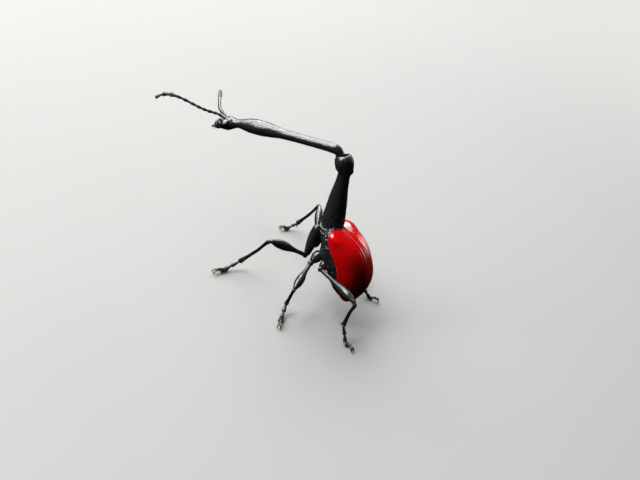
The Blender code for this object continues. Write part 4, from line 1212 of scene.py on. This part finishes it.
def make_camera():
    """The camera, turned and rolled as the photograph's was."""
    level = math.cos(VIEW_ELEVATION)
    back = Vector((math.sin(VIEW_AZIMUTH) * level, -math.cos(VIEW_AZIMUTH) * level, math.sin(VIEW_ELEVATION)))
    right = Vector((math.cos(VIEW_AZIMUTH), math.sin(VIEW_AZIMUTH), 0.0))
    up = back.cross(right)
    across = right * math.cos(VIEW_ROLL) + up * math.sin(VIEW_ROLL)
    upward = up * math.cos(VIEW_ROLL) - right * math.sin(VIEW_ROLL)
    place = Matrix((across, upward, back)).transposed().to_4x4()
    place.translation = (Vector(VIEW_AIM) + back * VIEW_DISTANCE) * MM
    lens = bpy.data.cameras.new("camera")
    lens.lens = VIEW_LENS
    lens.clip_start = 0.001
    lens.clip_end = 10.0
    camera = bpy.data.objects.new("camera", lens)
    bpy.context.scene.collection.objects.link(camera)
    camera.matrix_world = place
    bpy.context.scene.camera = camera


# Settings that a user would change

def length_setting(name, description, default):
    """A length in metres."""
    return bpy.props.FloatProperty(name=name, description=description, default=default, min=0.0,
                                   unit="LENGTH", subtype="DISTANCE", precision=6)


def power_setting(name, description, default):
    """A light's power in watts."""
    return bpy.props.FloatProperty(name=name, description=description, default=default, min=0.0, unit="POWER")


def colour_setting(name, description, default):
    """A colour without alpha."""
    return bpy.props.FloatVectorProperty(name=name, description=description, default=default, size=3, min=0.0,
                                         max=1.0, subtype="COLOR")


class WeevilShellSettings(bpy.types.PropertyGroup):
    """Colours and relief of the black shells, horn and felt."""
    black: colour_setting("Black", "Colour of the black shells", (0.0002, 0.0002, 0.00025))
    horn: colour_setting("Horn", "Colour of claws and jaws", (0.014, 0.005, 0.003))
    felt: colour_setting("Felt", "Colour of soles and short hairs", (0.42, 0.3, 0.17))
    ring_spacing: length_setting("Ring spacing", "Distance between the rings of the neck", 0.00017)
    ring_depth: length_setting("Ring depth", "Depth of the rings of the neck", 0.000009)
    pit_spacing: length_setting("Pit spacing", "Distance between coarse pits", 0.00019)
    pit_depth: length_setting("Pit depth", "Depth of the coarse pits", 0.000026)
    lump_height: length_setting("Lump height", "Height of the broad lumps of the face and coxae", 0.00003)
    fine_pits: length_setting("Fine pits", "Distance between the finest pits", 0.00006)


class WeevilCaseSettings(bpy.types.PropertyGroup):
    """Sizes and colours of the wing cases."""
    red: colour_setting("Red", "Colour of the wing cases", (0.43, 0.0015, 0.0025))
    # The dark red is the colour of the painted shade in the pits and towards the tail, and of random darker
    # patches.
    dark: colour_setting("Dark red", "Colour in the pits and towards the tail", (0.03, 0.0004, 0.0006))
    rows: bpy.props.IntProperty(name="Rows", description="Rows of pits on a wing case", default=10, min=1)
    groove_depth: length_setting("Groove depth", "Depth of each row's groove", 0.00001)
    pit_depth: length_setting("Pit depth", "Depth of the pits in a row", 0.000016)
    pit_spacing: length_setting("Pit spacing", "Distance between pits in a row", 0.00016)
    seam: length_setting("Seam", "Space between the wing cases", 0.00003)
    wall: length_setting("Wall", "Thickness of a wing case", 0.00014)


class WeevilFeelerSettings(bpy.types.PropertyGroup):
    """Sizes of the feelers."""
    joint_radius: length_setting("Joint radius", "Radius of a stalk joint", 0.000145)
    club_radius: length_setting("Club radius", "Radius of a club joint", 0.000185)
    hair_length: length_setting("Hair length", "Length of the club's hairs", 0.000075)


class WeevilLegSettings(bpy.types.PropertyGroup):
    """Sizes of shins and bristles."""
    shin_radius: length_setting("Shin radius", "Radius of a shin at its middle", 0.000145)
    bristle_length: length_setting("Bristle length", "Length of the bristles at the shin's end", 0.00016)
    bristle_density: bpy.props.FloatProperty(name="Bristle density", description="Bristles on a square metre",
                                             default=45e6, min=0.0)
    sole_hair_length: length_setting("Sole hair length", "Length of the felt under the feet", 0.00007)


class WeevilStageSettings(bpy.types.PropertyGroup):
    """Floor, backdrop and lights."""
    floor_size: length_setting("Floor size", "Side of the floor", 4.0)
    floor_colour: colour_setting("Floor colour", "Colour of the floor", (0.235, 0.235, 0.229))
    floor_bounce: colour_setting("Floor bounce", "Colour of the floor in reflections", (0.003, 0.003, 0.003))
    backdrop: colour_setting("Backdrop", "Colour behind the floor", (0.8, 0.8, 0.78))
    world_light: colour_setting("World light", "Light that comes from all round", (0.16, 0.165, 0.17))
    sky_power: power_setting("Sky power", "Power of the wide light overhead", 1.7)
    front_power: power_setting("Front power", "Power of the light before the head", 0.5)
    key_power: power_setting("Key power", "Power of the small bright light overhead", 0.12)
    rim_power: power_setting("Rim power", "Power of the light on the far side", 0.4)
    kick_power: power_setting("Kick power", "Power of the low light behind the tail", 0.16)
    glint_power: power_setting("Glint power", "Power of the small light low in front", 0.26)


SETTINGS = {
    "weevil_shell": WeevilShellSettings,
    "weevil_cases": WeevilCaseSettings,
    "weevil_feelers": WeevilFeelerSettings,
    "weevil_legs": WeevilLegSettings,
    "weevil_stage": WeevilStageSettings,
}


# Operators

class WEEVIL_OT_head(bpy.types.Operator):
    """Makes the head and neck"""
    bl_idname = "weevil.head"
    bl_label = "Head and neck"

    def execute(self, context):
        make_head()
        return {"FINISHED"}


class WEEVIL_OT_eyes(bpy.types.Operator):
    """Makes the two eyes"""
    bl_idname = "weevil.eyes"
    bl_label = "Eyes"

    def execute(self, context):
        make_eyes()
        return {"FINISHED"}


class WEEVIL_OT_mouth(bpy.types.Operator):
    """Makes the jaws and the small mouth feelers"""
    bl_idname = "weevil.mouth"
    bl_label = "Mouth"

    def execute(self, context):
        make_mouth()
        return {"FINISHED"}


class WEEVIL_OT_feelers(bpy.types.Operator):
    """Makes the two feelers with their clubs and hairs"""
    bl_idname = "weevil.feelers"
    bl_label = "Feelers"

    def execute(self, context):
        make_feelers()
        return {"FINISHED"}


class WEEVIL_OT_prothorax(bpy.types.Operator):
    """Makes the neck-like prothorax"""
    bl_idname = "weevil.prothorax"
    bl_label = "Prothorax"

    def execute(self, context):
        make_prothorax()
        return {"FINISHED"}


class WEEVIL_OT_trunk(bpy.types.Operator):
    """Makes the thorax, the scutellum and the belly"""
    bl_idname = "weevil.trunk"
    bl_label = "Thorax and belly"

    def execute(self, context):
        make_trunk()
        make_belly()
        return {"FINISHED"}


class WEEVIL_OT_wing_cases(bpy.types.Operator):
    """Makes the two red wing cases"""
    bl_idname = "weevil.wing_cases"
    bl_label = "Wing cases"

    def execute(self, context):
        make_wing_cases()
        return {"FINISHED"}


class WEEVIL_OT_legs(bpy.types.Operator):
    """Makes the six legs down to their ankles"""
    bl_idname = "weevil.legs"
    bl_label = "Legs"

    def execute(self, context):
        for name in STANCE:
            make_leg(name)
        return {"FINISHED"}


class WEEVIL_OT_feet(bpy.types.Operator):
    """Makes the six feet with their soles and claws"""
    bl_idname = "weevil.feet"
    bl_label = "Feet"

    def execute(self, context):
        for name in STANCE:
            make_foot(name)
        return {"FINISHED"}


class WEEVIL_OT_stage(bpy.types.Operator):
    """Makes the floor, the lights and the camera"""
    bl_idname = "weevil.stage"
    bl_label = "Stage"

    def execute(self, context):
        make_floor()
        make_lights()
        make_camera()
        return {"FINISHED"}


OPERATORS = (WEEVIL_OT_head, WEEVIL_OT_eyes, WEEVIL_OT_mouth, WEEVIL_OT_feelers, WEEVIL_OT_prothorax,
             WEEVIL_OT_trunk, WEEVIL_OT_wing_cases, WEEVIL_OT_legs, WEEVIL_OT_feet, WEEVIL_OT_stage)


class WEEVIL_PT_pieces(bpy.types.Panel):
    """Lists the settings and the pieces"""
    bl_label = "Giraffe weevil"
    bl_idname = "WEEVIL_PT_pieces"
    bl_space_type = "VIEW_3D"
    bl_region_type = "UI"
    bl_category = "Weevil"

    def draw(self, context):
        """Shows each group of settings, then a button for each piece."""
        for name, group in SETTINGS.items():
            box = self.layout.box()
            for setting in group.__annotations__:
                box.prop(getattr(context.scene, name), setting)
        for operator in OPERATORS:
            self.layout.operator(operator.bl_idname)


def register():
    """Adds the settings, the operators and the panel."""
    for name, group in SETTINGS.items():
        bpy.utils.register_class(group)
        setattr(bpy.types.Scene, name, bpy.props.PointerProperty(type=group))
    for operator in OPERATORS:
        bpy.utils.register_class(operator)
    bpy.utils.register_class(WEEVIL_PT_pieces)


def unregister():
    """Takes the panel, the operators and the settings away."""
    bpy.utils.unregister_class(WEEVIL_PT_pieces)
    for operator in reversed(OPERATORS):
        bpy.utils.unregister_class(operator)
    for name, group in SETTINGS.items():
        delattr(bpy.types.Scene, name)
        bpy.utils.unregister_class(group)


def main():
    """Builds every piece and the stage."""
    register()
    bpy.context.scene.view_settings.view_transform = "Standard"
    for operator in OPERATORS:
        family, name = operator.bl_idname.split(".")
        getattr(getattr(bpy.ops, family), name)()


if __name__ == "__main__":
    main()
